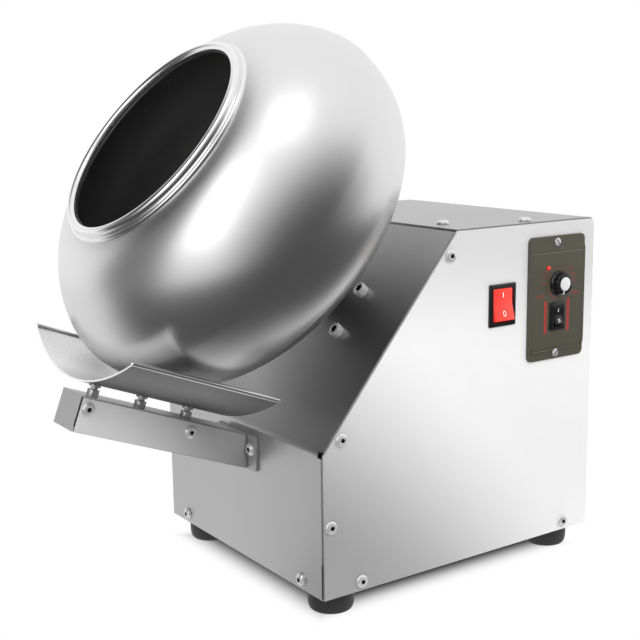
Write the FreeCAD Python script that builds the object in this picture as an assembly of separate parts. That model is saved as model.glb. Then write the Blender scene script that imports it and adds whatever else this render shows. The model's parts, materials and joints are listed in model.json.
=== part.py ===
import FreeCAD, Part
import math
import os
from FreeCAD import Placement, Rotation, Vector

# Tabletop rotating coating pan machine.
# Lengths are millimetres and angles are degrees.
# The model is built about the lower edge of the housing's front face: X runs to the
# right, Y to the rear and Z up. On export it is moved so that the origin lies on the
# table, in the middle of the machine's width and depth.

# Housing of bent sheet
HOUSING_WIDTH = 215.0
HOUSING_DEPTH = 253.0
HOUSING_HEIGHT = 241.5
FRONT_HEIGHT = 101.0
SLOPE_RUN = 115.5
SHEET = 1.5
SEAM = 0.9
BEND_RADIUS = 2.5
REAR_BEND_RADIUS = 5.0
FLANGE = 13.0
TOP_FLANGE = 26.0
TRAY_FLANGE = 14.0
RELIEF = 4.0
VENT_COUNT = 7
VENT_PITCH = 14.0
VENT_WIDTH = 5.0
VENT_LENGTH = 52.0
VENT_HEIGHT = 118.0

# Tabs of the side panels under the top sheet
TOP_TAB_REACH = 18.0
TOP_TAB_WIDTH = 22.0

# Rubber feet
FOOT_DIAMETER = 33.0
FOOT_SOLE_DIAMETER = 27.0
FOOT_HEIGHT = 17.0
FOOT_INSET_X = 23.0
FOOT_INSET_Y = 22.0
FOOT_RECESS_DIAMETER = 12.0
FOOT_RECESS_DEPTH = 8.0
FOOT_STRAIGHT_SHARE = 0.45
FOOT_ROUND_SHARE = 0.78
FOOT_ROUND_REACH = 0.25

# Screws
M5_RADIUS = 2.5
M5_HEAD_RADIUS = 4.75
M5_HEAD_HEIGHT = 2.8
M5_SOCKET = 3.0
BUTTON_SIDE_SHARE = 0.3
BUTTON_CROWN_SHARE = 0.62
BUTTON_SOCKET_FLOOR = 0.35
NUT_FLAT = 8.0
NUT_HEIGHT = 4.0
M6_RADIUS = 3.0
M6_HEAD_RADIUS = 5.0
M6_HEAD_HEIGHT = 6.0
M6_SOCKET = 5.0
CAP_SOCKET_FLOOR = 0.5
SCREW_GRIP = 7.0
SCREW_EDGE = 6.2
HOLE_CLEARANCE = 0.25
SLOPE_SCREW_LOW = 16.5
SLOPE_SCREW_HIGH = 17.5
FRONT_SCREW_HEIGHT = 51.0
BASE_SCREW_HEIGHT = 7.0
BASE_SCREW_FRONT = 31.4
BASE_SCREW_REAR = 27.5
FRONT_SCREW_INSET = 26.7
TOP_FRONT_SCREW = (71.0, 18.5)
TOP_SIDE_SCREW = (61.0, 11.0)

# Pan of spun steel
PAN_AXIS_UP_SLOPE = 120.8
PAN_RADIUS = 140.0
PAN_WALL = 1.5
PAN_EQUATOR = 110.4
PAN_FRONT_REACH = 78.6
PAN_BACK_REACH = 77.2
PAN_BACK_FLATNESS = 0.70
PAN_SIDE_FULLNESS = 0.66
PAN_FLAT_RADIUS = 30.0
PAN_MOUTH_RADIUS = 73.2
PAN_SEAM_HEIGHT = 66.0
RIM_OUTER_RADIUS = 88.0
RIM_OUTER_BEAD = 2.6
RIM_INNER_BEAD = 4.4
RIM_RISE = 4.8
RIM_WEB = 1.8

# Hub and output shaft
SHAFT_RADIUS = 7.5
SHAFT_REACH = 29.0
JOURNAL_RADIUS = 4.5
HUB_RADIUS = 20.0
HUB_START = 8.0
HUB_FLANGE = 5.0
HUB_SCREW_CIRCLE = 25.0
HUB_SCREW_COUNT = 4
KEY_WIDTH = 5.0
KEY_DEPTH = 2.5
RUNNING_FIT = 0.05

# Gearhead and its plate behind the slanted face
MOTOR_OFFSET = 16.5
MOUNT_PLATE = 5.0
MOUNT_PLATE_WIDTH = 120.0
MOUNT_PLATE_LENGTH = 106.0
CAP_SPACING_X = 101.0
CAP_SPACING_SLOPE = 34.5
GEARHEAD_SIZE = 90.0
GEARHEAD_WALL = 4.0
GEARHEAD_CORNER = 9.0
GEARHEAD_FRONT = 9.0
GEARHEAD_CAVITY = 37.0
GEARHEAD_COVER = 7.0
CASE_BOLT_SPACING = 73.5
CASE_COLUMN_RADIUS = 6.5
BOSS_RADIUS = 18.0
BOSS_RISE = 4.0
OUTPUT_BEARING_RADIUS = 15.0
OUTPUT_BEARING_WIDTH = 9.0
SEAL_WIDTH = 1.0
BUSH_RADIUS = 7.0
BUSH_LENGTH = 6.0
JOURNAL_BUSH_RADIUS = 7.2
COUNTERSHAFT_RADIUS = 4.0
END_PLAY = 0.5

# Gear train
MODULE = 1.0
PRESSURE_ANGLE = 20.0
ADDENDUM = 0.75
DEDENDUM = 1.05
BACKLASH = 0.12
PINION_TEETH = 12
WHEEL_TEETH = 34
LAST_PINION_TEETH = 14
OUTPUT_TEETH = 44
FIRST_SHAFT_ANGLE = 252.0
OUTPUT_GEAR_WIDTH = 12.0
SECOND_STAGE_WIDTH = 9.0
FIRST_STAGE_WIDTH = 8.0
LAYER_GAP = 1.5

# Motor
MOTOR_FLANGE = 8.0
MOTOR_RADIUS = 43.0
MOTOR_WALL = 4.0
MOTOR_LENGTH = 84.0
STATOR_LENGTH = 50.0
STATOR_SETBACK = 13.0
AIR_GAP = 0.4
ROTOR_RADIUS = 23.0
ROTOR_SHAFT_RADIUS = 4.8
MOTOR_BEARING_RADIUS = 12.0
REAR_BELL = 8.0
WINDING_RADIUS = 35.0
WINDING_BORE = 26.0
WINDING_LENGTH = 10.0
FAN_RADIUS = 37.0
FAN_HUB_RADIUS = 11.0
FAN_WIDTH = 11.0
FAN_BLADES = 7
FAN_BLADE_THICKNESS = 1.6
FAN_GAP = 3.0
COWL_WALL = 1.2
COWL_LENGTH = 20.0
COWL_HOLE_CIRCLE = 22.2
COWL_HOLE_RADIUS = 6.3

# Capacitor on the base tray
CAPACITOR_RADIUS = 17.5
CAPACITOR_LENGTH = 66.0
CAPACITOR_Y = 70.0
CAPACITOR_STUB = 6.1
CLIP_WIDTH = 14.0
CLIP_SHEET = 1.2

# Speed controller on the right side
CONTROLLER_REAR_INSET = 41.0
CONTROLLER_DROP = 57.0
FACEPLATE_WIDTH = 57.0
FACEPLATE_HEIGHT = 92.0
FACEPLATE_THICKNESS = 2.0
FACEPLATE_CORNER = 4.0
FACEPLATE_RAISED = 0.8
RAISED_HEIGHT = 71.0
RAISED_SLANT = 2.5
CONTROLLER_BODY_WIDTH = 50.0
CONTROLLER_BODY_HEIGHT = 76.0
CONTROLLER_BODY_DEPTH = 48.0
CONTROLLER_BODY_WALL = 1.8
CONTROLLER_SCREW_SPACING = 83.0
CONTROLLER_SCREW_RADIUS = 3.0
CONTROLLER_SCREW_HEAD = 1.6
CONTROLLER_SCREW_SHANK = 1.5
DRIVER_SLOT = 0.8
KNOB_OFFSET_Y = 0.75
KNOB_OFFSET_Z = 10.9
KNOB_RADIUS = 9.0
KNOB_HEIGHT = 6.5
KNOB_GAP = 0.5
KNOB_FLUTES = 14
KNOB_FOOT_HEIGHT = 2.0
KNOB_GRIP_FOOT = 8.4
KNOB_GRIP_TOP = 7.9
KNOB_CROWN = 7.2
KNOB_CROWN_HEIGHT = 0.8
KNOB_FLUTE_CIRCLE = 8.9
KNOB_FLUTE_RADIUS = 1.4
KNOB_CAP_RADIUS = 5.1
KNOB_CAP_TOP = 4.2
KNOB_CAP_RISE = 0.5
KNOB_CAP_SEAT = 0.8
SPINDLE_RADIUS = 3.0
SPINDLE_REACH = 4.7
POT_RADIUS = 8.5
POT_DEPTH = 9.0
POT_BUSH_RADIUS = 4.5
LAMP_OFFSET_Y = -10.2
LAMP_OFFSET_Z = 23.0
LAMP_RADIUS = 1.5
LAMP_SHOULDER = 0.6
LAMP_CROWN_SHARE = 0.87
RUN_SWITCH_OFFSET_Y = -0.6
RUN_SWITCH_OFFSET_Z = -13.8
RUN_SWITCH_SIZE = (15.0, 21.0)
MAIN_SWITCH_REAR_INSET = 94.7
MAIN_SWITCH_SIZE = (25.5, 31.0)
SWITCH_FRAME = 2.0
SWITCH_DEPTH = 17.0
SWITCH_WALL = 1.2
SWITCH_CHAMFER = 0.8
ROCKER_TILT = 8.0
ROCKER_CLEARANCE = 0.35
ROCKER_PIN_RADIUS = 1.2
ROCKER_PIN_REACH = 0.96
ROCKER_RISE = 5.2
ROCKER_DIP = 3.75
ROCKER_FOOT_SHARE = 0.7

# Cable gland at the rear
GLAND_X = -72.0
GLAND_Z = 40.0
GLAND_BORE = 4.2
GLAND_THREAD = 7.5
GLAND_FLANGE = 10.5
GLAND_NUT = 5.0
GLAND_DOME = 8.0
GLAND_DOME_RADIUS = 9.0
GLAND_TIP_RADIUS = 6.5
GLAND_DOME_SIDE = 3.2

# Bracket arm and trough in front
ARM_TILT = 21.0
ARM_WIDTH = 32.0
ARM_REACH = 125.0
ARM_BELOW_PAN = 235.0
ARM_HEIGHT = 24.2
ARM_SHEET = 2.0
ARM_PLATE = 1.5
ARM_SEAM = 1.3
ARM_TAB_WIDTH = 11.5
ARM_TAB_SHEET = 2.0
ARM_TAB_CORNER = 2.4
ARM_TAB_SCREW_X = 21.25
ARM_TAB_SCREW_DROP = 9.3
ARM_SCREWS = (6.0, 86.0)
ARM_SCREW_DROP = 7.5
ARM_LUG_WIDTH = 9.0
ARM_LUG_DEPTH = 6.5
TROUGH_HALF_WIDTH = 77.0
TROUGH_SAG = 23.0
TROUGH_LENGTH = 112.0
TROUGH_SHEET = 1.2
TROUGH_OVERHANG = 4.5
TROUGH_GAP = 8.2
HEM_RADIUS = 1.6
STUD_PLACES = (18.5, 55.0, 92.5)
STUD_RADIUS = 2.5
STUD_HEAD_RADIUS = 4.5
STUD_HEAD_HEIGHT = 1.6

X_AXIS = Vector(1, 0, 0)
Y_AXIS = Vector(0, 1, 0)
Z_AXIS = Vector(0, 0, 1)
FULL_TURN = 360.0
HEX_SIDES = 6
ELLIPSE_POLE = 0.5523
OVERCUT = 1.0
SNAP = 0.01

# Values worked out from the sizes above
HALF_WIDTH = HOUSING_WIDTH / 2
PANEL_INNER = HALF_WIDTH - SHEET
SLOPE_ANGLE = math.degrees(math.atan2(HOUSING_HEIGHT - FRONT_HEIGHT, SLOPE_RUN))
SLOPE_LENGTH = math.hypot(HOUSING_HEIGHT - FRONT_HEIGHT, SLOPE_RUN)
SLOPE_COS = math.cos(math.radians(SLOPE_ANGLE))
SLOPE_SIN = math.sin(math.radians(SLOPE_ANGLE))
CONTROLLER_Y = HOUSING_DEPTH - CONTROLLER_REAR_INSET
CONTROLLER_Z = HOUSING_HEIGHT - CONTROLLER_DROP
MAIN_SWITCH_CENTRE = (HOUSING_DEPTH - MAIN_SWITCH_REAR_INSET, CONTROLLER_Z)
ARM_REAR_TOP = ARM_BELOW_PAN - PAN_RADIUS
AXIS_FOOT = Vector(0, PAN_AXIS_UP_SLOPE * SLOPE_COS, FRONT_HEIGHT + PAN_AXIS_UP_SLOPE * SLOPE_SIN)
PLATE_FRONT = -SHEET
CASE_FRONT = PLATE_FRONT - MOUNT_PLATE
CAVITY_FRONT = CASE_FRONT - GEARHEAD_FRONT
CAVITY_BACK = CAVITY_FRONT - GEARHEAD_CAVITY
COVER_BACK = CAVITY_BACK - GEARHEAD_COVER
TUBE_START = COVER_BACK - MOTOR_FLANGE
TUBE_END = TUBE_START - MOTOR_LENGTH
BELL_END = TUBE_END - REAR_BELL
OUTPUT_GEAR_TOP = CAVITY_FRONT - LAYER_GAP
SECOND_STAGE_TOP = OUTPUT_GEAR_TOP - OUTPUT_GEAR_WIDTH - LAYER_GAP
FIRST_STAGE_TOP = SECOND_STAGE_TOP - SECOND_STAGE_WIDTH - LAYER_GAP
MOTOR_CENTRE = (0.0, -MOTOR_OFFSET)
ARM_COS = math.cos(math.radians(ARM_TILT))
ARM_SIN = math.sin(math.radians(ARM_TILT))
ARM_LENGTH = ARM_REACH / ARM_COS
TROUGH_RADIUS = (TROUGH_HALF_WIDTH ** 2 + TROUGH_SAG ** 2) / (2 * TROUGH_SAG)
FRONT_REACH = (ARM_LENGTH + TROUGH_OVERHANG) * ARM_COS + TROUGH_GAP * ARM_SIN
REAR_REACH = HOUSING_DEPTH + GLAND_NUT + GLAND_DOME
MIDDLE_DEPTH = (REAR_REACH - FRONT_REACH) / 2
SLOPE_FRAME = Placement(AXIS_FOOT, Rotation(X_AXIS, SLOPE_ANGLE))
ARM_FRAME = Placement(Vector(0, 0, ARM_REAR_TOP), Rotation(X_AXIS, -ARM_TILT))


def cylinder(radius, start, end, x=0.0, y=0.0):
    """Solid cylinder along Z between two heights, about the line x, y."""
    low = min(start, end)
    return Part.makeCylinder(radius, abs(end - start), Vector(x, y, low), Z_AXIS)


def ring(outer, inner, start, end, x=0.0, y=0.0):
    """Tube along Z between two heights."""
    return cylinder(outer, start, end, x, y).cut(cylinder(inner, start, end, x, y))


def box(x_range, y_range, z_range):
    """Box between two limits on each axis."""
    size = [high - low for low, high in (x_range, y_range, z_range)]
    return Part.makeBox(*size, Vector(x_range[0], y_range[0], z_range[0]))


def rounded_block(width, length, radius, start, end, x=0.0, y=0.0):
    """Block along Z with its four upright edges rounded."""
    block = box((x - width / 2, x + width / 2), (y - length / 2, y + length / 2), (start, end))
    upright = [edge for edge in block.Edges if edge.BoundBox.ZLength > abs(end - start) / 2]
    return block.makeFillet(radius, upright)


def hex_prism(across_flats, start, end):
    """Six-sided prism along Z with flats facing along X."""
    corner = across_flats / 2 / math.cos(math.pi / HEX_SIDES)
    angles = [math.pi / HEX_SIDES + 2 * math.pi * i / HEX_SIDES for i in range(HEX_SIDES + 1)]
    points = [Vector(corner * math.cos(a), corner * math.sin(a), start) for a in angles]
    return Part.Face(Part.makePolygon(points)).extrude(Vector(0, 0, end - start))


def revolve(points):
    """Solid of revolution about Z from radius and height pairs."""
    outline = [Vector(r, 0, z) for r, z in points]
    face = Part.Face(Part.makePolygon(outline + outline[:1]))
    return face.revolve(Vector(0, 0, 0), Z_AXIS, FULL_TURN)


def merged(shapes):
    """One solid from touching shapes, with its seams removed."""
    first, rest = shapes[0], shapes[1:]
    return first.fuse(rest).removeSplitter() if rest else first


def group(shapes):
    """Separate solids kept together in one node."""
    return Part.makeCompound(shapes)


def aimed(shape, base, direction):
    """Copy of a shape whose Z axis is turned to a direction and moved to a point."""
    moved = shape.copy()
    moved.Placement = Placement(base, Rotation(Z_AXIS, direction))
    return moved


def on_slope(shape):
    """Copy moved from the pan's axis frame, whose Z leaves the slanted face, to the housing."""
    moved = shape.copy()
    moved.Placement = SLOPE_FRAME.multiply(moved.Placement)
    return moved


def on_arm(shape):
    """Copy moved from the arm's frame, whose Y runs down the arm to the housing."""
    moved = shape.copy()
    moved.Placement = ARM_FRAME.multiply(moved.Placement)
    return moved


def line_offset_corner(before, corner, after, offset):
    """Corner of two lines moved sideways by the offset, to the right of their direction."""
    into = Vector(corner[0] - before[0], corner[1] - before[1], 0).normalize()
    out = Vector(after[0] - corner[0], after[1] - corner[1], 0).normalize()
    side_in = Vector(into.y, -into.x, 0)
    side_out = Vector(out.y, -out.x, 0)
    share = offset / (1 + side_in.dot(side_out))
    return (corner[0] + share * (side_in.x + side_out.x), corner[1] + share * (side_in.y + side_out.y))


def offset_line(path, offset):
    """Points of an open path moved to its right by the offset, with sharp corners."""
    first = Vector(path[1][0] - path[0][0], path[1][1] - path[0][1], 0).normalize()
    last = Vector(path[-1][0] - path[-2][0], path[-1][1] - path[-2][1], 0).normalize()
    start = (path[0][0] + offset * first.y, path[0][1] - offset * first.x)
    end = (path[-1][0] + offset * last.y, path[-1][1] - offset * last.x)
    inner = [
        line_offset_corner(path[i - 1], path[i], path[i + 1], offset)
        for i in range(1, len(path) - 1)
    ]
    return [start] + inner + [end]


def side_polygon(points, x_start, x_end):
    """Solid between two X planes from points in the YZ plane."""
    outline = [Vector(x_start, y, z) for y, z in points]
    face = Part.Face(Part.makePolygon(outline + outline[:1]))
    return face.extrude(Vector(x_end - x_start, 0, 0))


def side_ribbon(path, near, far, x_start, x_end):
    """Strip between two offsets of a path in the YZ plane, given a width along X."""
    points = offset_line(path, near) + offset_line(path, far)[::-1]
    return side_polygon(points, x_start, x_end)


def bent_sheet(path, radius, x_start, x_end):
    """Folded sheet along a path in the YZ plane, its bends rounded inside and outside."""
    sheet = side_ribbon(path, 0, SHEET, x_start, x_end)
    outer_corners = path[1:-1]
    inner_corners = offset_line(path, SHEET)[1:-1]
    outer_edges = edges_along_x(sheet, outer_corners)
    sheet = sheet.makeFillet(radius + SHEET, outer_edges)
    inner_edges = edges_along_x(sheet, inner_corners)
    return sheet.makeFillet(radius, inner_edges)


def edges_along_x(shape, places):
    """Edges of a shape that run along X through the given points of the YZ plane."""
    found = []
    for edge in shape.Edges:
        bounds = edge.BoundBox
        for y, z in places:
            off = abs(bounds.YMin - y) + abs(bounds.ZMin - z) + bounds.YLength + bounds.ZLength
            if off < SNAP:
                found.append(edge)
    return found


def drilled(shape, tools):
    """Shape with each tool cut out of it."""
    for tool in tools:
        shape = shape.cut(tool)
    return shape


def button_screw(grip):
    """Button-head screw with a hex socket: seat at height 0, head above, shank below."""
    dome = [
        (0, 0),
        (M5_HEAD_RADIUS, 0),
        (M5_HEAD_RADIUS, M5_HEAD_HEIGHT * BUTTON_SIDE_SHARE),
        (M5_HEAD_RADIUS * BUTTON_CROWN_SHARE, M5_HEAD_HEIGHT),
        (0, M5_HEAD_HEIGHT),
    ]
    socket = hex_prism(M5_SOCKET, M5_HEAD_HEIGHT * BUTTON_SOCKET_FLOOR, M5_HEAD_HEIGHT)
    return merged([revolve(dome).cut(socket), cylinder(M5_RADIUS, -grip, 0)])


def cap_screw(grip):
    """Socket-head cap screw: seat at height 0, head above, shank below."""
    socket = hex_prism(M6_SOCKET, M6_HEAD_HEIGHT * CAP_SOCKET_FLOOR, M6_HEAD_HEIGHT)
    head = cylinder(M6_HEAD_RADIUS, 0, M6_HEAD_HEIGHT).cut(socket)
    return merged([head, cylinder(M6_RADIUS, -grip, 0)])


def drill_along(point, direction, radius, half_length):
    """Cylinder through a point, used to make a hole."""
    start = point - direction * half_length
    return Part.makeCylinder(radius, 2 * half_length, start, direction)


# Housing

def housing_outline():
    """Outer outline of the housing in the YZ plane, from the lower front edge to the lower rear edge."""
    return [
        (0.0, 0.0),
        (0.0, FRONT_HEIGHT),
        (SLOPE_RUN, HOUSING_HEIGHT),
        (HOUSING_DEPTH, HOUSING_HEIGHT),
        (HOUSING_DEPTH, 0.0),
    ]


def slope_point(along, depth):
    """Point of the YZ plane at a distance up the slope and at a depth behind it."""
    y = along * SLOPE_COS + depth * SLOPE_SIN
    z = FRONT_HEIGHT + along * SLOPE_SIN - depth * SLOPE_COS
    return (y, z)


def side_screw_places():
    """Places in the YZ plane of the five screws of each side panel."""
    return [
        (SCREW_EDGE, FRONT_SCREW_HEIGHT),
        slope_point(SLOPE_SCREW_LOW, SCREW_EDGE),
        slope_point(SLOPE_LENGTH - SLOPE_SCREW_HIGH, SCREW_EDGE),
        (BASE_SCREW_FRONT, BASE_SCREW_HEIGHT),
        (HOUSING_DEPTH - BASE_SCREW_REAR, BASE_SCREW_HEIGHT),
    ]


def front_screw_places():
    """Places of the two screws at the foot of the front face."""
    x = HALF_WIDTH - FRONT_SCREW_INSET
    return [Vector(-x, 0, BASE_SCREW_HEIGHT), Vector(x, 0, BASE_SCREW_HEIGHT)]


def top_screw_places():
    """Places of the four screws of the top sheet."""
    front_x, front_back = TOP_FRONT_SCREW
    side_forward, side_inset = TOP_SIDE_SCREW
    places = []
    for side in (-1, 1):
        places.append(Vector(side * front_x, SLOPE_RUN + front_back, HOUSING_HEIGHT))
        side_x = PANEL_INNER - side_inset
        places.append(Vector(side * side_x, HOUSING_DEPTH - side_forward, HOUSING_HEIGHT))
    return places


def foot_places():
    """Centres of the four feet under the base tray."""
    x = HALF_WIDTH - FOOT_INSET_X
    rear = HOUSING_DEPTH - FOOT_INSET_Y
    return {
        "foot_front_left": Vector(-x, FOOT_INSET_Y, 0),
        "foot_front_right": Vector(x, FOOT_INSET_Y, 0),
        "foot_rear_left": Vector(-x, rear, 0),
        "foot_rear_right": Vector(x, rear, 0),
    }


def screw_hole_tools():
    """Clearance holes for every housing screw."""
    radius = M5_RADIUS + HOLE_CLEARANCE
    reach = SCREW_GRIP * 2
    tools = [drill_along(place, Y_AXIS, radius, reach) for place in front_screw_places()]
    tools += [drill_along(place, Z_AXIS, radius, reach) for place in top_screw_places()]
    for y, z in side_screw_places():
        for side in (-1, 1):
            tools.append(drill_along(Vector(side * HALF_WIDTH, y, z), X_AXIS, radius, reach))
    return tools


def slope_hole_tools():
    """Holes of the slanted face and the plate behind it, in the pan's axis frame."""
    reach = SHEET + MOUNT_PLATE + OVERCUT
    tools = [cylinder(BOSS_RADIUS + HOLE_CLEARANCE, -reach, OVERCUT)]
    for x, y in cap_screw_places():
        tools.append(cylinder(M6_RADIUS + HOLE_CLEARANCE, -reach, OVERCUT, x, y))
    return tools


def front_slope_panel():
    """Front and slanted face in one folded sheet, with side flanges and a flange under the top."""
    path = housing_outline()[:3]
    under_top = HOUSING_HEIGHT - SHEET
    sheet = bent_sheet(path, BEND_RADIUS, -PANEL_INNER, PANEL_INNER)
    flange = box(
        (-PANEL_INNER, PANEL_INNER),
        (SLOPE_RUN, SLOPE_RUN + TOP_FLANGE),
        (under_top - SHEET, under_top),
    )
    tray_top = TRAY_FLANGE + SEAM
    flange_path = [(0.0, tray_top), path[1], slope_point(SLOPE_LENGTH - SHEET * 2, 0)]
    parts = [sheet, flange]
    for side in (-1, 1):
        outer = side * PANEL_INNER
        parts.append(side_ribbon(flange_path, SHEET / 2, FLANGE, outer, outer - side * SHEET))
    panel = merged(parts)
    above_top = box(
        (-HALF_WIDTH, HALF_WIDTH),
        (SLOPE_RUN - TOP_FLANGE, SLOPE_RUN + TOP_FLANGE * 2),
        (under_top, under_top + TOP_FLANGE),
    )
    panel = panel.cut(above_top)
    for side in (-1, 1):
        edge = side * PANEL_INNER
        low, high = sorted((edge, edge - side * RELIEF))
        heights = (FRONT_HEIGHT - RELIEF / 2, FRONT_HEIGHT + RELIEF / 2)
        panel = panel.cut(box((low, high), (-RELIEF, RELIEF), heights))
    slope_tools = [on_slope(tool) for tool in slope_hole_tools()]
    radius = M5_RADIUS + HOLE_CLEARANCE
    tab_tools = [drill_along(place, Y_AXIS, radius, SCREW_GRIP) for place in tab_screw_places()]
    return drilled(panel, screw_hole_tools() + slope_tools + tab_tools)


def side_panel(side):
    """Flat side panel whose outline stays one seam inside the folded sheets."""
    outline = offset_line(housing_outline(), SEAM)
    start, end = side * PANEL_INNER, side * HALF_WIDTH
    panel = side_polygon(outline, start, end)
    panel = panel.makeFillet(REAR_BEND_RADIUS, edges_along_x(panel, [outline[3]]))
    return drilled(merged([panel, top_tab(side, 0)]), screw_hole_tools())


def top_tab(side, gap):
    """Tab under the top sheet that takes its side screw, grown by a gap where it needs room."""
    middle = HOUSING_DEPTH - TOP_SIDE_SCREW[0]
    half = TOP_TAB_WIDTH / 2 + gap
    low, high = sorted((side * PANEL_INNER, side * (PANEL_INNER - TOP_TAB_REACH)))
    under_top = HOUSING_HEIGHT - SHEET
    return box((low, high), (middle - half, middle + half), (under_top - SHEET - gap, under_top))


def right_side_panel():
    """Right side panel with the openings of the controller and the main switch."""
    panel = side_panel(1)
    through = (PANEL_INNER - OVERCUT, HALF_WIDTH + OVERCUT)
    body_size = (CONTROLLER_BODY_WIDTH, CONTROLLER_BODY_HEIGHT)
    tools = [
        centred_side_box(through, CONTROLLER_Y, CONTROLLER_Z, *body_size),
        centred_side_box(through, *MAIN_SWITCH_CENTRE, *switch_body_size(MAIN_SWITCH_SIZE)),
    ]
    for y, z in controller_screw_places():
        tools.append(drill_along(Vector(HALF_WIDTH, y, z), X_AXIS, CONTROLLER_SCREW_SHANK, SCREW_GRIP))
    return drilled(panel, tools)


def left_side_panel():
    """Plain left side panel."""
    return side_panel(-1)


def top_rear_cover():
    """Top and rear face in one folded sheet with side flanges, vents and the cable hole."""
    corner = (HOUSING_DEPTH, HOUSING_HEIGHT)
    path = [(SLOPE_RUN + SEAM, HOUSING_HEIGHT), corner, (HOUSING_DEPTH, 0.0)]
    sheet = bent_sheet(path, REAR_BEND_RADIUS - SHEET, -PANEL_INNER, PANEL_INNER)
    flange_start = SLOPE_RUN + TOP_FLANGE + SEAM
    flange_path = [(flange_start, HOUSING_HEIGHT), corner, (HOUSING_DEPTH, TRAY_FLANGE + SEAM)]
    parts = [sheet]
    for side in (-1, 1):
        outer = side * PANEL_INNER
        flange = side_ribbon(flange_path, SHEET / 2, FLANGE, outer, outer - side * SHEET)
        bend_room = box(
            (-HALF_WIDTH, HALF_WIDTH),
            (HOUSING_DEPTH - REAR_BEND_RADIUS, HOUSING_DEPTH),
            (HOUSING_HEIGHT - REAR_BEND_RADIUS, HOUSING_HEIGHT),
        )
        parts.append(drilled(flange, [bend_room, top_tab(side, HOLE_CLEARANCE)]))
    cover = merged(parts)
    slots = []
    first = -VENT_PITCH * (VENT_COUNT - 1) / 2
    for i in range(VENT_COUNT):
        x = first + i * VENT_PITCH
        slot = box(
            (x - VENT_WIDTH / 2, x + VENT_WIDTH / 2),
            (HOUSING_DEPTH - SHEET * 2, HOUSING_DEPTH + SHEET),
            (VENT_HEIGHT, VENT_HEIGHT + VENT_LENGTH),
        )
        across = [edge for edge in slot.Edges if edge.BoundBox.YLength > SHEET]
        slots.append(slot.makeFillet(VENT_WIDTH / 2 - SNAP, across))
    gland = drill_along(Vector(GLAND_X, HOUSING_DEPTH, GLAND_Z), Y_AXIS, GLAND_THREAD, SHEET * 2)
    return drilled(cover, screw_hole_tools() + slots + [gland])


def base_tray():
    """Floor sheet with upturned flanges that the panels are screwed to."""
    front, rear = SHEET, HOUSING_DEPTH - SHEET
    outer = box((-PANEL_INNER, PANEL_INNER), (front, rear), (0, TRAY_FLANGE))
    inner = box(
        (-PANEL_INNER + SHEET, PANEL_INNER - SHEET),
        (front + SHEET, rear - SHEET),
        (SHEET, TRAY_FLANGE),
    )
    tray = outer.cut(inner)
    radius = M5_RADIUS + HOLE_CLEARANCE
    feet = [drill_along(place, Z_AXIS, radius, SHEET * 2) for place in foot_places().values()]
    return drilled(tray, screw_hole_tools() + feet)


def foot(place):
    """Tapered rubber foot with a rounded sole and a recess for its screw."""
    top, sole = FOOT_DIAMETER / 2, FOOT_SOLE_DIAMETER / 2
    round_over = top - sole
    profile = [
        (0, 0),
        (top, 0),
        (top, -FOOT_HEIGHT * FOOT_STRAIGHT_SHARE),
        (top - round_over * FOOT_ROUND_REACH, -FOOT_HEIGHT * FOOT_ROUND_SHARE),
        (sole, -FOOT_HEIGHT),
        (0, -FOOT_HEIGHT),
    ]
    body = revolve(profile)
    recess = cylinder(FOOT_RECESS_DIAMETER / 2, -FOOT_HEIGHT, -FOOT_HEIGHT + FOOT_RECESS_DEPTH)
    hole = cylinder(M5_RADIUS, -FOOT_HEIGHT, 0)
    body = drilled(body, [recess, hole])
    body.translate(place)
    return body


def foot_screws():
    """Screws that hold the feet from below, each with its nut on the tray."""
    seat = -FOOT_HEIGHT + FOOT_RECESS_DEPTH
    nut_top = SHEET + NUT_HEIGHT
    screws = []
    for place in foot_places().values():
        head = cylinder(M5_HEAD_RADIUS, seat - M5_HEAD_HEIGHT, seat)
        shank = cylinder(M5_RADIUS, seat, nut_top + SHEET)
        nut = hex_prism(NUT_FLAT, SHEET, nut_top)
        screw = merged([head, shank, nut])
        screw.translate(place)
        screws.append(screw)
    return group(screws)


def housing_screws():
    """Button-head screws of the front face, the top and both side panels."""
    screw = button_screw(SCREW_GRIP)
    screws = [aimed(screw, place, Vector(0, -1, 0)) for place in front_screw_places()]
    screws += [aimed(screw, place, Z_AXIS) for place in top_screw_places()]
    for y, z in side_screw_places():
        for side in (-1, 1):
            screws.append(aimed(screw, Vector(side * HALF_WIDTH, y, z), Vector(side, 0, 0)))
    return group(screws)


# Pan, hub and output shaft, in the pan's axis frame

def curve_through(poles):
    """Edge of a smooth curve from radius and height pairs used as its poles."""
    curve = Part.BezierCurve()
    curve.setPoles([Vector(r, 0, z) for r, z in poles])
    return curve.toShape()


def turned(face):
    """Solid made by turning a flat face once round the Z axis."""
    return face.revolve(Vector(0, 0, 0), Z_AXIS, FULL_TURN)


def pan_profile(inset):
    """Half section of the filled pan, drawn in by an inset on all sides."""
    radius = PAN_RADIUS - inset
    front, back = PAN_FRONT_REACH - inset, PAN_BACK_REACH - inset
    flat = PAN_FLAT_RADIUS
    top, bottom = PAN_EQUATOR + front, PAN_EQUATOR - back
    back_wall = curve_through(
        [
            (flat, bottom),
            (flat + PAN_BACK_FLATNESS * (radius - flat), bottom),
            (radius, PAN_EQUATOR - PAN_SIDE_FULLNESS * back),
            (radius, PAN_EQUATOR),
        ]
    )
    front_wall = curve_through(
        [
            (radius, PAN_EQUATOR),
            (radius, PAN_EQUATOR + ELLIPSE_POLE * front),
            (ELLIPSE_POLE * radius, top),
            (0, top),
        ]
    )
    edges = [
        Part.makeLine(Vector(0, 0, bottom), Vector(flat, 0, bottom)),
        back_wall,
        front_wall,
        Part.makeLine(Vector(0, 0, top), Vector(0, 0, bottom)),
    ]
    return Part.Face(Part.Wire(edges))


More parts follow.
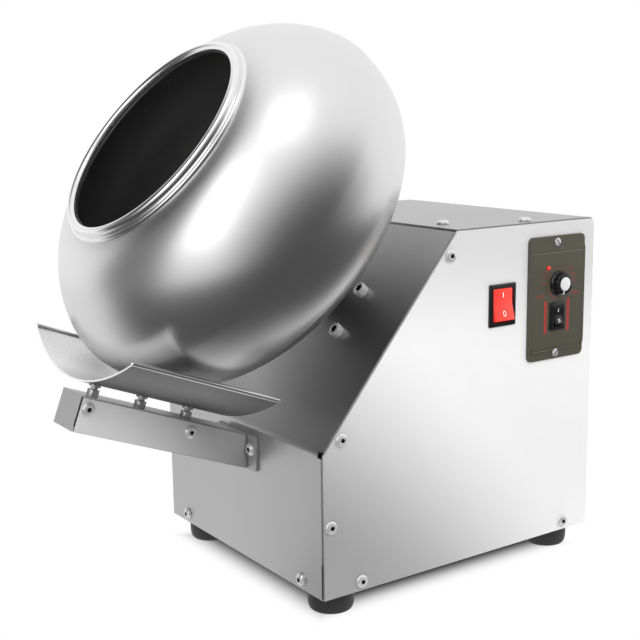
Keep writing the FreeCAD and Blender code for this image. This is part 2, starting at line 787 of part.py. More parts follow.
def rim_centres():
    """Radius and height of the middle of the rim's inner and outer bead."""
    outer = RIM_OUTER_RADIUS - RIM_OUTER_BEAD
    height = PAN_EQUATOR + PAN_FRONT_REACH * math.sqrt(1 - (outer / PAN_RADIUS) ** 2) - PAN_WALL / 2
    return (PAN_MOUTH_RADIUS + RIM_INNER_BEAD, height + RIM_RISE), (outer, height)


def rim_profile():
    """Section of the rolled rim: an outer and an inner bead joined by a web."""
    inner, outer = rim_centres()
    inner_point, outer_point = Vector(inner[0], 0, inner[1]), Vector(outer[0], 0, outer[1])
    along = (outer_point - inner_point).normalize()
    across = Vector(-along.z, 0, along.x) * (RIM_WEB / 2)
    inner_reach = along * math.sqrt(RIM_INNER_BEAD ** 2 - (RIM_WEB / 2) ** 2)
    outer_reach = along * math.sqrt(RIM_OUTER_BEAD ** 2 - (RIM_WEB / 2) ** 2)
    inner_top, inner_low = inner_point + inner_reach + across, inner_point + inner_reach - across
    outer_top, outer_low = outer_point - outer_reach + across, outer_point - outer_reach - across
    inner_far = inner_point - along * RIM_INNER_BEAD
    outer_far = outer_point + along * RIM_OUTER_BEAD
    edges = [
        Part.Arc(inner_low, inner_far, inner_top).toShape(),
        Part.makeLine(inner_top, outer_top),
        Part.Arc(outer_top, outer_far, outer_low).toShape(),
        Part.makeLine(outer_low, inner_low),
    ]
    return Part.Face(Part.Wire(edges))


def pan_rim():
    """Rolled rim round the mouth."""
    return turned(rim_profile())


def pan_back_height(inset=0.0):
    """Height of the pan's flat back, on the outside or drawn in by an inset."""
    return PAN_EQUATOR - PAN_BACK_REACH + inset


def hub_screw_places():
    """Places of the screws around the hub."""
    step = 2 * math.pi / HUB_SCREW_COUNT
    angles = [step * (i + 0.5) for i in range(HUB_SCREW_COUNT)]
    return [(HUB_SCREW_CIRCLE * math.cos(a), HUB_SCREW_CIRCLE * math.sin(a)) for a in angles]


def pan_wall(low, high):
    """Ring of the thin spun wall between two heights."""
    profile = pan_profile(0).cut(pan_profile(PAN_WALL)).cut(rim_profile())
    wall = max(profile.Faces, key=lambda face: face.Area)
    corners = [(0, low), (PAN_RADIUS, low), (PAN_RADIUS, high), (0, high)]
    outline = [Vector(r, 0, z) for r, z in corners]
    band = Part.Face(Part.makePolygon(outline + outline[:1]))
    return turned(wall.common(band).Faces[0])


def pan_back():
    """Back of the pan up to its seam, holed for the hub screws."""
    back = pan_back_height()
    shell = pan_wall(back, PAN_SEAM_HEIGHT)
    holes = [
        cylinder(M5_RADIUS + HOLE_CLEARANCE, back - PAN_WALL, back + PAN_WALL * 2, x, y)
        for x, y in hub_screw_places()
    ]
    return drilled(shell, holes)


def pan_middle():
    """Ring of the pan from its seam to its widest line."""
    return pan_wall(PAN_SEAM_HEIGHT, PAN_EQUATOR)


def pan_front():
    """Front of the pan from its widest line to the rim."""
    return pan_wall(PAN_EQUATOR, PAN_EQUATOR + PAN_FRONT_REACH)


def pan_hub():
    """Flanged hub between the output shaft and the pan's back."""
    back = pan_back_height()
    flange = cylinder(PAN_FLAT_RADIUS, back - HUB_FLANGE, back)
    boss = cylinder(HUB_RADIUS, HUB_START, back - HUB_FLANGE)
    hub = merged([flange, boss])
    bore = cylinder(SHAFT_RADIUS, HUB_START, SHAFT_REACH)
    screws = [cylinder(M5_RADIUS, back - HUB_FLANGE, back, x, y) for x, y in hub_screw_places()]
    return drilled(hub, [bore, shaft_key()] + screws)


def shaft_key():
    """Key that locks the hub to the shaft."""
    half = KEY_WIDTH / 2
    across = (SHAFT_RADIUS - KEY_DEPTH, SHAFT_RADIUS + KEY_DEPTH)
    return box((-half, half), across, (HUB_START + KEY_DEPTH, SHAFT_REACH - KEY_DEPTH))


def hub_screws():
    """Button-head screws inside the pan that hold it to the hub."""
    seat = pan_back_height(PAN_WALL)
    screw = button_screw(PAN_WALL + HUB_FLANGE)
    return group([aimed(screw, Vector(x, y, seat), Z_AXIS) for x, y in hub_screw_places()])


def output_shaft():
    """Output shaft, stepped down to a journal at its rear end."""
    step = OUTPUT_GEAR_TOP - OUTPUT_GEAR_WIDTH
    body = cylinder(SHAFT_RADIUS, step, SHAFT_REACH)
    journal = cylinder(JOURNAL_RADIUS, COVER_BACK + END_PLAY, step)
    return merged([body, journal]).cut(shaft_key())


# Gear train, in the pan's axis frame

def gear_pitch_radius(teeth):
    """Pitch radius of a gear."""
    return MODULE * teeth / 2


def gear_centres():
    """Centres of the two countershafts: the second lies where both its meshes fit."""
    mesh = gear_pitch_radius(PINION_TEETH) + gear_pitch_radius(WHEEL_TEETH)
    last = gear_pitch_radius(LAST_PINION_TEETH) + gear_pitch_radius(OUTPUT_TEETH)
    angle = math.radians(FIRST_SHAFT_ANGLE)
    first = (MOTOR_CENTRE[0] + mesh * math.cos(angle), MOTOR_CENTRE[1] + mesh * math.sin(angle))
    span = math.hypot(first[0], first[1])
    along = (mesh ** 2 - last ** 2 + span ** 2) / (2 * span)
    aside = math.sqrt(mesh ** 2 - along ** 2)
    unit = (-first[0] / span, -first[1] / span)
    second = (
        first[0] + along * unit[0] + aside * unit[1],
        first[1] + along * unit[1] - aside * unit[0],
    )
    return first, second


def involute_angle(radius, base):
    """Angle that an involute has turned through where it reaches a radius."""
    pressure = math.acos(min(1.0, base / radius))
    return math.tan(pressure) - pressure


def gear_outline(teeth):
    """Half-tooth points as radius and angle from the tooth's middle, from root to tip."""
    pitch = gear_pitch_radius(teeth)
    base = pitch * math.cos(math.radians(PRESSURE_ANGLE))
    root, tip = pitch - DEDENDUM * MODULE, pitch + ADDENDUM * MODULE
    half = math.pi / (2 * teeth) - BACKLASH / (2 * pitch)
    at_pitch = half + involute_angle(pitch, base)
    start = max(base, root)
    middle = (start + tip) / 2
    points = [(r, at_pitch - involute_angle(r, base)) for r in (start, middle, tip)]
    if base > root:
        points.insert(0, (root, points[0][1]))
    return points


def spur_gear(teeth, phase, start, width, centre, bore=0.0):
    """Spur gear with involute teeth, one of them centred at the phase angle in radians."""
    half_tooth = gear_outline(teeth)
    points = []
    for i in range(teeth):
        middle = phase + 2 * math.pi * i / teeth
        for radius, angle in half_tooth:
            points.append((radius, middle - angle))
        for radius, angle in reversed(half_tooth):
            points.append((radius, middle + angle))
    outline = [
        Vector(centre[0] + r * math.cos(a), centre[1] + r * math.sin(a), start - width) for r, a in points
    ]
    gear = Part.Face(Part.makePolygon(outline + outline[:1])).extrude(Vector(0, 0, width))
    return gear.cut(cylinder(bore, start - width, start, *centre)) if bore else gear


def meshed_phase(phase, teeth, centre, other_teeth, other_centre):
    """Phase of the other gear that puts one of its gaps on the first gear's tooth."""
    angle = math.atan2(other_centre[1] - centre[1], other_centre[0] - centre[0])
    tooth_turn = math.pi - (angle - phase) * teeth
    return angle + math.pi - tooth_turn / other_teeth


def gear_phases():
    """Phases at rest of the wheels and of the output gear, with every pinion at phase 0."""
    first, second = gear_centres()
    return {
        "first_wheel": meshed_phase(0, PINION_TEETH, MOTOR_CENTRE, WHEEL_TEETH, first),
        "second_wheel": meshed_phase(0, PINION_TEETH, first, WHEEL_TEETH, second),
        "output_gear": meshed_phase(0, LAST_PINION_TEETH, second, OUTPUT_TEETH, (0.0, 0.0)),
    }


def countershaft(centre, teeth, top, width):
    """Pinion cut in one with its shaft."""
    front = CAVITY_FRONT + BUSH_LENGTH - END_PLAY
    back = CAVITY_BACK - BUSH_LENGTH + END_PLAY
    shaft = cylinder(COUNTERSHAFT_RADIUS, back, front, *centre)
    return merged([shaft, spur_gear(teeth, 0, top, width, centre)])


def gear_parts():
    """Gears and shafts between the motor's pinion and the output shaft."""
    first, second = gear_centres()
    phase = gear_phases()
    fast, slow = (FIRST_STAGE_TOP, FIRST_STAGE_WIDTH), (SECOND_STAGE_TOP, SECOND_STAGE_WIDTH)
    last = (OUTPUT_GEAR_TOP, OUTPUT_GEAR_WIDTH)
    bore = COUNTERSHAFT_RADIUS
    return {
        "first_wheel": spur_gear(WHEEL_TEETH, phase["first_wheel"], *fast, first, bore),
        "first_pinion_shaft": countershaft(first, PINION_TEETH, *slow),
        "second_wheel": spur_gear(WHEEL_TEETH, phase["second_wheel"], *slow, second, bore),
        "second_pinion_shaft": countershaft(second, LAST_PINION_TEETH, *last),
        "output_gear": spur_gear(OUTPUT_TEETH, phase["output_gear"], *last, (0.0, 0.0), SHAFT_RADIUS),
    }


# Gearhead, in the pan's axis frame

def cap_screw_places():
    """Places of the four cap screws on the slanted face."""
    return [
        (x * CAP_SPACING_X / 2, -MOTOR_OFFSET + y * CAP_SPACING_SLOPE / 2)
        for x in (-1, 1)
        for y in (-1, 1)
    ]


def case_bolt_places():
    """Places of the four long screws through motor flange, cover and case."""
    half = CASE_BOLT_SPACING / 2
    return [(x * half, -MOTOR_OFFSET + y * half) for x in (-1, 1) for y in (-1, 1)]


def case_bolt_holes(start, end):
    """Clearance holes for the long screws between two heights."""
    return [cylinder(M6_RADIUS + HOLE_CLEARANCE, start, end, x, y) for x, y in case_bolt_places()]


def gear_mount_plate():
    """Thick plate behind the slanted face that carries the gearhead."""
    plate = rounded_block(
        MOUNT_PLATE_WIDTH, MOUNT_PLATE_LENGTH, GEARHEAD_CORNER, CASE_FRONT, PLATE_FRONT, 0, -MOTOR_OFFSET
    )
    taps = [cylinder(M6_RADIUS, CASE_FRONT, PLATE_FRONT, x, y) for x, y in cap_screw_places()]
    taps += [cylinder(M6_RADIUS, CASE_FRONT, PLATE_FRONT, x, y) for x, y in case_bolt_places()]
    boss = cylinder(BOSS_RADIUS + HOLE_CLEARANCE, CASE_FRONT, PLATE_FRONT)
    return drilled(plate, taps + [boss])


def mount_cap_screws():
    """Cap screws that hold the plate and gearhead to the slanted face."""
    screw = cap_screw(SHEET + MOUNT_PLATE + OVERCUT)
    return group([aimed(screw, Vector(x, y, 0), Z_AXIS) for x, y in cap_screw_places()])


def gearhead_case():
    """Square gear case, open to the rear, with a round boss through the slanted face."""
    block = rounded_block(
        GEARHEAD_SIZE, GEARHEAD_SIZE, GEARHEAD_CORNER, CAVITY_BACK, CASE_FRONT, 0, -MOTOR_OFFSET
    )
    inner = GEARHEAD_SIZE - GEARHEAD_WALL * 2
    cavity = rounded_block(inner, inner, GEARHEAD_WALL, CAVITY_BACK, CAVITY_FRONT, 0, -MOTOR_OFFSET)
    columns = [cylinder(CASE_COLUMN_RADIUS, CAVITY_BACK, CAVITY_FRONT, x, y) for x, y in case_bolt_places()]
    cavity = drilled(cavity, columns)
    boss = cylinder(BOSS_RADIUS, CASE_FRONT, BOSS_RISE)
    case = merged([block, boss]).cut(cavity)
    seat_floor = BOSS_RISE - SEAL_WIDTH - OUTPUT_BEARING_WIDTH
    first, second = gear_centres()
    seats = [
        cylinder(OUTPUT_BEARING_RADIUS, seat_floor, BOSS_RISE),
        cylinder((OUTPUT_BEARING_RADIUS + SHAFT_RADIUS) / 2, CAVITY_FRONT, seat_floor),
        cylinder(BUSH_RADIUS, CAVITY_FRONT, CAVITY_FRONT + BUSH_LENGTH, *first),
        cylinder(BUSH_RADIUS, CAVITY_FRONT, CAVITY_FRONT + BUSH_LENGTH, *second),
    ]
    return drilled(case, seats + case_bolt_holes(CAVITY_BACK, CASE_FRONT))


def gearhead_cover():
    """Plate that closes the gear case and carries the rear bushes."""
    plate = rounded_block(
        GEARHEAD_SIZE, GEARHEAD_SIZE, GEARHEAD_CORNER, COVER_BACK, CAVITY_BACK, 0, -MOTOR_OFFSET
    )
    first, second = gear_centres()
    pinion_tip = gear_pitch_radius(PINION_TEETH) + ADDENDUM * MODULE
    seats = [
        cylinder(BUSH_RADIUS, CAVITY_BACK - BUSH_LENGTH, CAVITY_BACK, *first),
        cylinder(BUSH_RADIUS, CAVITY_BACK - BUSH_LENGTH, CAVITY_BACK, *second),
        cylinder(JOURNAL_BUSH_RADIUS, COVER_BACK, CAVITY_BACK),
        cylinder(pinion_tip + LAYER_GAP / 2, COVER_BACK, CAVITY_BACK, *MOTOR_CENTRE),
    ]
    return drilled(plate, seats + case_bolt_holes(COVER_BACK, CAVITY_BACK))


def gearhead_bearings():
    """Output bearing, its rear bush and the four countershaft bushes."""
    seat_floor = BOSS_RISE - SEAL_WIDTH - OUTPUT_BEARING_WIDTH
    rings = [
        ring(OUTPUT_BEARING_RADIUS, SHAFT_RADIUS + RUNNING_FIT, seat_floor, BOSS_RISE - SEAL_WIDTH),
        ring(JOURNAL_BUSH_RADIUS, JOURNAL_RADIUS + RUNNING_FIT, COVER_BACK, CAVITY_BACK),
    ]
    bore = COUNTERSHAFT_RADIUS + RUNNING_FIT
    for centre in gear_centres():
        rings.append(ring(BUSH_RADIUS, bore, CAVITY_FRONT, CAVITY_FRONT + BUSH_LENGTH, *centre))
        rings.append(ring(BUSH_RADIUS, bore, CAVITY_BACK - BUSH_LENGTH, CAVITY_BACK, *centre))
    return group(rings)


def shaft_seal():
    """Thin seal in front of the output bearing."""
    return ring(OUTPUT_BEARING_RADIUS, SHAFT_RADIUS + RUNNING_FIT, BOSS_RISE - SEAL_WIDTH, BOSS_RISE)


# Motor, in the pan's axis frame

def motor_casing():
    """Motor tube with its square front flange."""
    flange = rounded_block(
        GEARHEAD_SIZE, GEARHEAD_SIZE, GEARHEAD_CORNER, TUBE_START, COVER_BACK, 0, -MOTOR_OFFSET
    )
    bearing_seat = cylinder(MOTOR_BEARING_RADIUS, TUBE_START, COVER_BACK, *MOTOR_CENTRE)
    flange = drilled(flange, [bearing_seat] + case_bolt_holes(TUBE_START, COVER_BACK))
    tube = ring(MOTOR_RADIUS, MOTOR_RADIUS - MOTOR_WALL, TUBE_END, TUBE_START, *MOTOR_CENTRE)
    return merged([flange, tube])


def stator_span():
    """Heights of the front and rear face of the stator core."""
    front = TUBE_START - STATOR_SETBACK
    return front, front - STATOR_LENGTH


def stator_core():
    """Laminated ring pressed into the motor tube."""
    front, rear = stator_span()
    return ring(MOTOR_RADIUS - MOTOR_WALL, ROTOR_RADIUS + AIR_GAP, rear, front, *MOTOR_CENTRE)


def stator_windings():
    """End turns of the winding in front of and behind the core."""
    front, rear = stator_span()
    return group(
        [
            ring(WINDING_RADIUS, WINDING_BORE, front, front + WINDING_LENGTH, *MOTOR_CENTRE),
            ring(WINDING_RADIUS, WINDING_BORE, rear - WINDING_LENGTH, rear, *MOTOR_CENTRE),
        ]
    )


def motor_rear_bell():
    """Rear end plate of the motor with its bearing seat."""
    plate = cylinder(MOTOR_RADIUS, BELL_END, TUBE_END, *MOTOR_CENTRE)
    return plate.cut(cylinder(MOTOR_BEARING_RADIUS, BELL_END, TUBE_END, *MOTOR_CENTRE))


def motor_bearings():
    """Front and rear bearing of the rotor."""
    bore = ROTOR_SHAFT_RADIUS + RUNNING_FIT
    return group(
        [
            ring(MOTOR_BEARING_RADIUS, bore, TUBE_START, COVER_BACK, *MOTOR_CENTRE),
            ring(MOTOR_BEARING_RADIUS, bore, BELL_END, TUBE_END, *MOTOR_CENTRE),
        ]
    )


def motor_screws():
    """Long cap screws from the motor flange to the mount plate."""
    grip = PLATE_FRONT - TUBE_START
    screw = cap_screw(grip)
    down = Vector(0, 0, -1)
    return group([aimed(screw, Vector(x, y, TUBE_START), down) for x, y in case_bolt_places()])


def rotor_shaft():
    """Rotor shaft with the motor pinion cut on its front end."""
    front = FIRST_STAGE_TOP
    fan_end = BELL_END - FAN_GAP - FAN_WIDTH
    shaft = cylinder(ROTOR_SHAFT_RADIUS, fan_end, COVER_BACK, *MOTOR_CENTRE)
    pinion = spur_gear(PINION_TEETH, 0, front, front - COVER_BACK, MOTOR_CENTRE)
    return merged([shaft, pinion])


def rotor_core():
    """Laminated rotor on its shaft."""
    front, rear = stator_span()
    return ring(ROTOR_RADIUS, ROTOR_SHAFT_RADIUS, rear, front, *MOTOR_CENTRE)


def cooling_fan():
    """Radial fan on the rear end of the rotor shaft."""
    rear = BELL_END - FAN_GAP - FAN_WIDTH
    front = BELL_END - FAN_GAP
    hub = cylinder(FAN_HUB_RADIUS, rear, front)
    disc = cylinder(FAN_RADIUS, front - FAN_BLADE_THICKNESS, front)
    half = FAN_BLADE_THICKNESS / 2
    blades = []
    for i in range(FAN_BLADES):
        blade = box((FAN_HUB_RADIUS - OVERCUT, FAN_RADIUS - OVERCUT), (-half, half), (rear, front))
        blade.rotate(Vector(0, 0, 0), Z_AXIS, FULL_TURN * i / FAN_BLADES)
        blades.append(blade)
    fan = merged([hub, disc] + blades)
    fan = fan.cut(cylinder(ROTOR_SHAFT_RADIUS, rear, front))
    fan.translate(Vector(MOTOR_CENTRE[0], MOTOR_CENTRE[1], 0))
    return fan


def fan_cowl():
    """Sheet cowl round the fan with air holes in its end."""
    outer = MOTOR_RADIUS + COWL_WALL
    start = BELL_END + REAR_BELL / 2
    end = BELL_END - COWL_LENGTH
    shell = cylinder(outer, end, start).cut(cylinder(MOTOR_RADIUS, end + COWL_WALL, start))
    step = 2 * math.pi / FAN_BLADES
    holes = []
    for i in range(FAN_BLADES):
        x, y = COWL_HOLE_CIRCLE * math.cos(step * i), COWL_HOLE_CIRCLE * math.sin(step * i)
        holes.append(cylinder(COWL_HOLE_RADIUS, end, end + COWL_WALL, x, y))
    cowl = drilled(shell, holes)
    cowl.translate(Vector(MOTOR_CENTRE[0], MOTOR_CENTRE[1], 0))
    return cowl


# Electric parts

def capacitor_centre():
    """Middle of the capacitor's axis above the base tray."""
    return Vector(0, CAPACITOR_Y, SHEET + CLIP_SHEET + CAPACITOR_RADIUS)


def capacitor():
    """Motor capacitor lying across the tray."""
    start = capacitor_centre() - X_AXIS * (CAPACITOR_LENGTH / 2)
    can = Part.makeCylinder(CAPACITOR_RADIUS, CAPACITOR_LENGTH, start, X_AXIS)
    stub_start = start + X_AXIS * CAPACITOR_LENGTH
    return merged([can, Part.makeCylinder(CAPACITOR_STUB, CAPACITOR_STUB, stub_start, X_AXIS)])


def capacitor_clip():
    """Strap that holds the capacitor to the tray."""
    centre = capacitor_centre()
    start = centre - X_AXIS * (CLIP_WIDTH / 2)
    outer_radius = CAPACITOR_RADIUS + CLIP_SHEET
    strap = Part.makeCylinder(outer_radius, CLIP_WIDTH, start, X_AXIS)
    half_x = CLIP_WIDTH / 2
    ear = box(
        (-half_x, half_x),
        (centre.y - outer_radius - CLIP_WIDTH, centre.y + outer_radius + CLIP_WIDTH),
        (SHEET, SHEET + CLIP_SHEET),
    )
    clip = merged([strap, ear]).cut(Part.makeCylinder(CAPACITOR_RADIUS, CLIP_WIDTH, start, X_AXIS))
    floor = box((-half_x, half_x), (0, HOUSING_DEPTH), (-SHEET, SHEET))
    return clip.cut(floor)


def centred_side_box(x_range, y, z, width, height):
    """Box through the right side, centred on a place of that side."""
    return box(x_range, (y - width / 2, y + width / 2), (z - height / 2, z + height / 2))


def controller_screw_places():
    """Places of the two screws of the controller's faceplate."""
    half = CONTROLLER_SCREW_SPACING / 2
    y = CONTROLLER_Y + RUN_SWITCH_OFFSET_Y
    return [(y, CONTROLLER_Z - half), (y, CONTROLLER_Z + half)]


def knob_place():
    """Centre of the speed knob on the right side."""
    return CONTROLLER_Y + KNOB_OFFSET_Y, CONTROLLER_Z + KNOB_OFFSET_Z


def lamp_place():
    """Centre of the lamp on the right side."""
    return CONTROLLER_Y + LAMP_OFFSET_Y, CONTROLLER_Z + LAMP_OFFSET_Z


def run_switch_place():
    """Centre of the run switch on the right side."""
    return CONTROLLER_Y + RUN_SWITCH_OFFSET_Y, CONTROLLER_Z + RUN_SWITCH_OFFSET_Z


def faceplate_face():
    """X of the raised outer face of the controller's faceplate."""
    return HALF_WIDTH + FACEPLATE_THICKNESS + FACEPLATE_RAISED


def side_hole(y, z, radius, x_start, x_end):
    """Cylinder along X between two planes."""
    return Part.makeCylinder(radius, x_end - x_start, Vector(x_start, y, z), X_AXIS)


def controller_faceplate():
    """Faceplate with a raised middle that slopes down to its screw margins."""
    x = HALF_WIDTH
    plate = centred_side_box(
        (x, x + FACEPLATE_THICKNESS), CONTROLLER_Y, CONTROLLER_Z, FACEPLATE_WIDTH, FACEPLATE_HEIGHT
    )
    corners = [edge for edge in plate.Edges if edge.BoundBox.XLength > FACEPLATE_THICKNESS / 2]
    plate = plate.makeFillet(FACEPLATE_CORNER, corners)
    low, high = x + FACEPLATE_THICKNESS, faceplate_face()
    half = RAISED_HEIGHT / 2
    profile = [
        Vector(low, 0, -half - RAISED_SLANT),
        Vector(high, 0, -half),
        Vector(high, 0, half),
        Vector(low, 0, half + RAISED_SLANT),
    ]
    raised = Part.Face(Part.makePolygon(profile + profile[:1])).extrude(Vector(0, FACEPLATE_WIDTH, 0))
    raised.translate(Vector(0, CONTROLLER_Y - FACEPLATE_WIDTH / 2, CONTROLLER_Z))
    plate = merged([plate, raised])
    knob_y, knob_z = knob_place()
    lamp_y, lamp_z = lamp_place()
    tools = [
        side_hole(knob_y, knob_z, POT_BUSH_RADIUS, x, high),
        side_hole(lamp_y, lamp_z, LAMP_RADIUS, x, high),
        centred_side_box((x, high), *run_switch_place(), *switch_body_size(RUN_SWITCH_SIZE)),
    ]
    tools += [side_hole(y, z, CONTROLLER_SCREW_SHANK, x, high) for y, z in controller_screw_places()]
    return drilled(plate, tools)


def controller_body():
    """Electronics case behind the faceplate, open towards it."""
    front, rear = HALF_WIDTH, HALF_WIDTH - CONTROLLER_BODY_DEPTH
    gap = HOLE_CLEARANCE
    width, height = CONTROLLER_BODY_WIDTH - gap * 2, CONTROLLER_BODY_HEIGHT - gap * 2
    wall = CONTROLLER_BODY_WALL * 2
    outer = centred_side_box((rear, front), CONTROLLER_Y, CONTROLLER_Z, width, height)
    inner = centred_side_box(
        (rear + CONTROLLER_BODY_WALL, front), CONTROLLER_Y, CONTROLLER_Z, width - wall, height - wall
    )
    return outer.cut(inner)


def controller_screws():
    """Slotted screws of the faceplate."""
    seat = HALF_WIDTH + FACEPLATE_THICKNESS
    top = seat + CONTROLLER_SCREW_HEAD
    screws = []
    for y, z in controller_screw_places():
        head = side_hole(y, z, CONTROLLER_SCREW_RADIUS, seat, top)
        slot = centred_side_box((top - DRIVER_SLOT, top), y, z, CONTROLLER_SCREW_RADIUS * 2, DRIVER_SLOT)
        shank = side_hole(y, z, CONTROLLER_SCREW_SHANK, HALF_WIDTH - SCREW_GRIP, seat)
        screws.append(merged([head, shank]).cut(slot))
    return group(screws)


def status_lamp():
    """Small round lamp of the controller, its stem behind the faceplate."""
    y, z = lamp_place()
    foot = HALF_WIDTH - LAMP_RADIUS * 2 - faceplate_face()
    profile = [
        (0, foot),
        (LAMP_RADIUS, foot),
        (LAMP_RADIUS, LAMP_SHOULDER),
        (LAMP_RADIUS * LAMP_CROWN_SHARE, LAMP_SHOULDER + LAMP_RADIUS / 2),
        (LAMP_RADIUS / 2, LAMP_SHOULDER + LAMP_RADIUS * LAMP_CROWN_SHARE),
        (0, LAMP_SHOULDER + LAMP_RADIUS * LAMP_CROWN_SHARE),
    ]
    return aimed(revolve(profile), Vector(faceplate_face(), y, z), X_AXIS)


def speed_potentiometer():
    """Potentiometer behind the faceplate, its bush through the plate."""
    y, z = knob_place()
    body = side_hole(y, z, POT_RADIUS, HALF_WIDTH - POT_DEPTH, HALF_WIDTH)
    bush = side_hole(y, z, POT_BUSH_RADIUS, HALF_WIDTH, faceplate_face())
    bore = side_hole(y, z, SPINDLE_RADIUS + RUNNING_FIT, HALF_WIDTH - POT_DEPTH / 2, faceplate_face())
    return merged([body, bush]).cut(bore)


def potentiometer_spindle():
    """Spindle that the knob turns."""
    y, z = knob_place()
    start = HALF_WIDTH - POT_DEPTH / 2 + RUNNING_FIT
    return side_hole(y, z, SPINDLE_RADIUS, start, faceplate_face() + SPINDLE_REACH)


def speed_knob():
    """Fluted knob with a recess for its cap."""
    profile = [
        (0, 0),
        (KNOB_RADIUS, 0),
        (KNOB_RADIUS, KNOB_FOOT_HEIGHT / 2),
        (KNOB_GRIP_FOOT, KNOB_FOOT_HEIGHT),
        (KNOB_GRIP_TOP, KNOB_HEIGHT - KNOB_CROWN_HEIGHT),
        (KNOB_CROWN, KNOB_HEIGHT),
        (0, KNOB_HEIGHT),
    ]
    step = 2 * math.pi / KNOB_FLUTES
    tools = []
    for i in range(KNOB_FLUTES):
        x, y = KNOB_FLUTE_CIRCLE * math.cos(step * i), KNOB_FLUTE_CIRCLE * math.sin(step * i)
        tools.append(cylinder(KNOB_FLUTE_RADIUS, KNOB_FOOT_HEIGHT, KNOB_HEIGHT, x, y))
    tools.append(cylinder(KNOB_CAP_RADIUS, KNOB_HEIGHT - KNOB_CAP_SEAT, KNOB_HEIGHT))
    tools.append(cylinder(SPINDLE_RADIUS, 0, SPINDLE_REACH - KNOB_GAP))
    return on_knob(drilled(revolve(profile), tools))


def knob_cap():
    """Bright cap pressed into the knob."""
    profile = [
        (0, KNOB_HEIGHT - KNOB_CAP_SEAT),
        (KNOB_CAP_RADIUS, KNOB_HEIGHT - KNOB_CAP_SEAT),
        (KNOB_CAP_RADIUS, KNOB_HEIGHT),
        (KNOB_CAP_TOP, KNOB_HEIGHT + KNOB_CAP_RISE),
        (0, KNOB_HEIGHT + KNOB_CAP_RISE),
    ]
    return on_knob(revolve(profile))


def on_knob(shape):
    """Copy of a shape moved to the speed knob, its Z axis turned to the right."""
    y, z = knob_place()
    return aimed(shape, Vector(faceplate_face() + KNOB_GAP, y, z), X_AXIS)


def switch_body_size(size):
    """Width and height of the switch body behind its frame."""
    return size[0] - SWITCH_FRAME * 2, size[1] - SWITCH_FRAME * 2


def switch_opening_size(size):
    """Width and height of the opening that the rocker fills."""
    width, height = switch_body_size(size)
    return width - SWITCH_WALL * 2, height - SWITCH_WALL * 2


def switch_frame(size, centre, face):
    """Switch frame with its hollow body, bored for the rocker's pins."""
    y, z = centre
    frame = centred_side_box((face, face + SWITCH_FRAME), y, z, *size)
    rim = [edge for edge in frame.Edges if edge.BoundBox.XMin > face + SWITCH_FRAME / 2]
    frame = frame.makeChamfer(SWITCH_CHAMFER, rim)
    body = centred_side_box((face - SWITCH_DEPTH, face), y, z, *switch_body_size(size))
    hollow_start = face - SWITCH_DEPTH + SWITCH_WALL
    hollow = centred_side_box((hollow_start, face + SWITCH_FRAME), y, z, *switch_opening_size(size))
    half = switch_body_size(size)[0] / 2
    pivot = Vector(face - SWITCH_FRAME, y, z)
    bore = drill_along(pivot, Y_AXIS, ROCKER_PIN_RADIUS + RUNNING_FIT, half)
    return drilled(merged([frame, body]), [hollow, bore])


def switch_rocker(size, centre, face):
    """Rocker with two shallow slopes and pivot pins, its upper half pressed in."""
    y, z = centre
    width, height = switch_opening_size(size)
    half_width, half_height = width / 2 - ROCKER_CLEARANCE, height / 2 - ROCKER_CLEARANCE * 2
    half_foot = half_height * ROCKER_FOOT_SHARE
    pivot = Vector(face - SWITCH_FRAME, y, z)
    side = [
        Vector(-SWITCH_FRAME, 0, -half_foot),
        Vector(0, 0, -half_height),
        Vector(ROCKER_RISE, 0, -half_height),
        Vector(ROCKER_DIP, 0, 0),
        Vector(ROCKER_RISE, 0, half_height),
        Vector(0, 0, half_height),
        Vector(-SWITCH_FRAME, 0, half_foot),
    ]
    paddle = Part.Face(Part.makePolygon(side + side[:1])).extrude(Vector(0, half_width * 2, 0))
    paddle.translate(Vector(0, -half_width, 0))
    pin = drill_along(Vector(0, 0, 0), Y_AXIS, ROCKER_PIN_RADIUS, width / 2 + ROCKER_PIN_REACH)
    rocker = merged([paddle, pin])
    rocker.rotate(Vector(0, 0, 0), Y_AXIS, -ROCKER_TILT)
    rocker.translate(pivot)
    return rocker


def cable_gland():
    """Gland of the mains cord at the rear: thread, locknut, flange and dome nut."""
    inside = cylinder(GLAND_THREAD, -SHEET, 0)
    locknut = hex_prism(GLAND_FLANGE * 2, -SHEET - GLAND_NUT, -SHEET)
    flange = hex_prism(GLAND_FLANGE * 2, 0, GLAND_NUT)
    dome = revolve(
        [
            (0, GLAND_NUT),
            (GLAND_DOME_RADIUS, GLAND_NUT),
            (GLAND_DOME_RADIUS, GLAND_NUT + GLAND_DOME_SIDE),
            (GLAND_TIP_RADIUS, GLAND_NUT + GLAND_DOME),
            (0, GLAND_NUT + GLAND_DOME),
        ]
    )
    gland = merged([inside, locknut, flange, dome])
    gland = gland.cut(cylinder(GLAND_BORE, -SHEET - GLAND_NUT, GLAND_NUT + GLAND_DOME))
    return aimed(gland, Vector(GLAND_X, HOUSING_DEPTH, GLAND_Z), Y_AXIS)


# Bracket arm and trough
# In the arm's frame the origin is the rear end of the arm's upper edge, Y runs down the
# arm towards the housing, so the arm itself lies at negative Y, and Z leaves its top.

def arm_screw_places():
    """Distances down the arm and below its top of the screws of the side plate."""
    return [(-ARM_LENGTH + along, -ARM_SCREW_DROP) for along in ARM_SCREWS]


def tab_screw_places():
    """Places of the screws that hold the arm's tabs to the front face."""
    z = ARM_REAR_TOP - ARM_TAB_SCREW_DROP
    return [Vector(side * ARM_TAB_SCREW_X, -ARM_TAB_SHEET, z) for side in (-1, 1)]


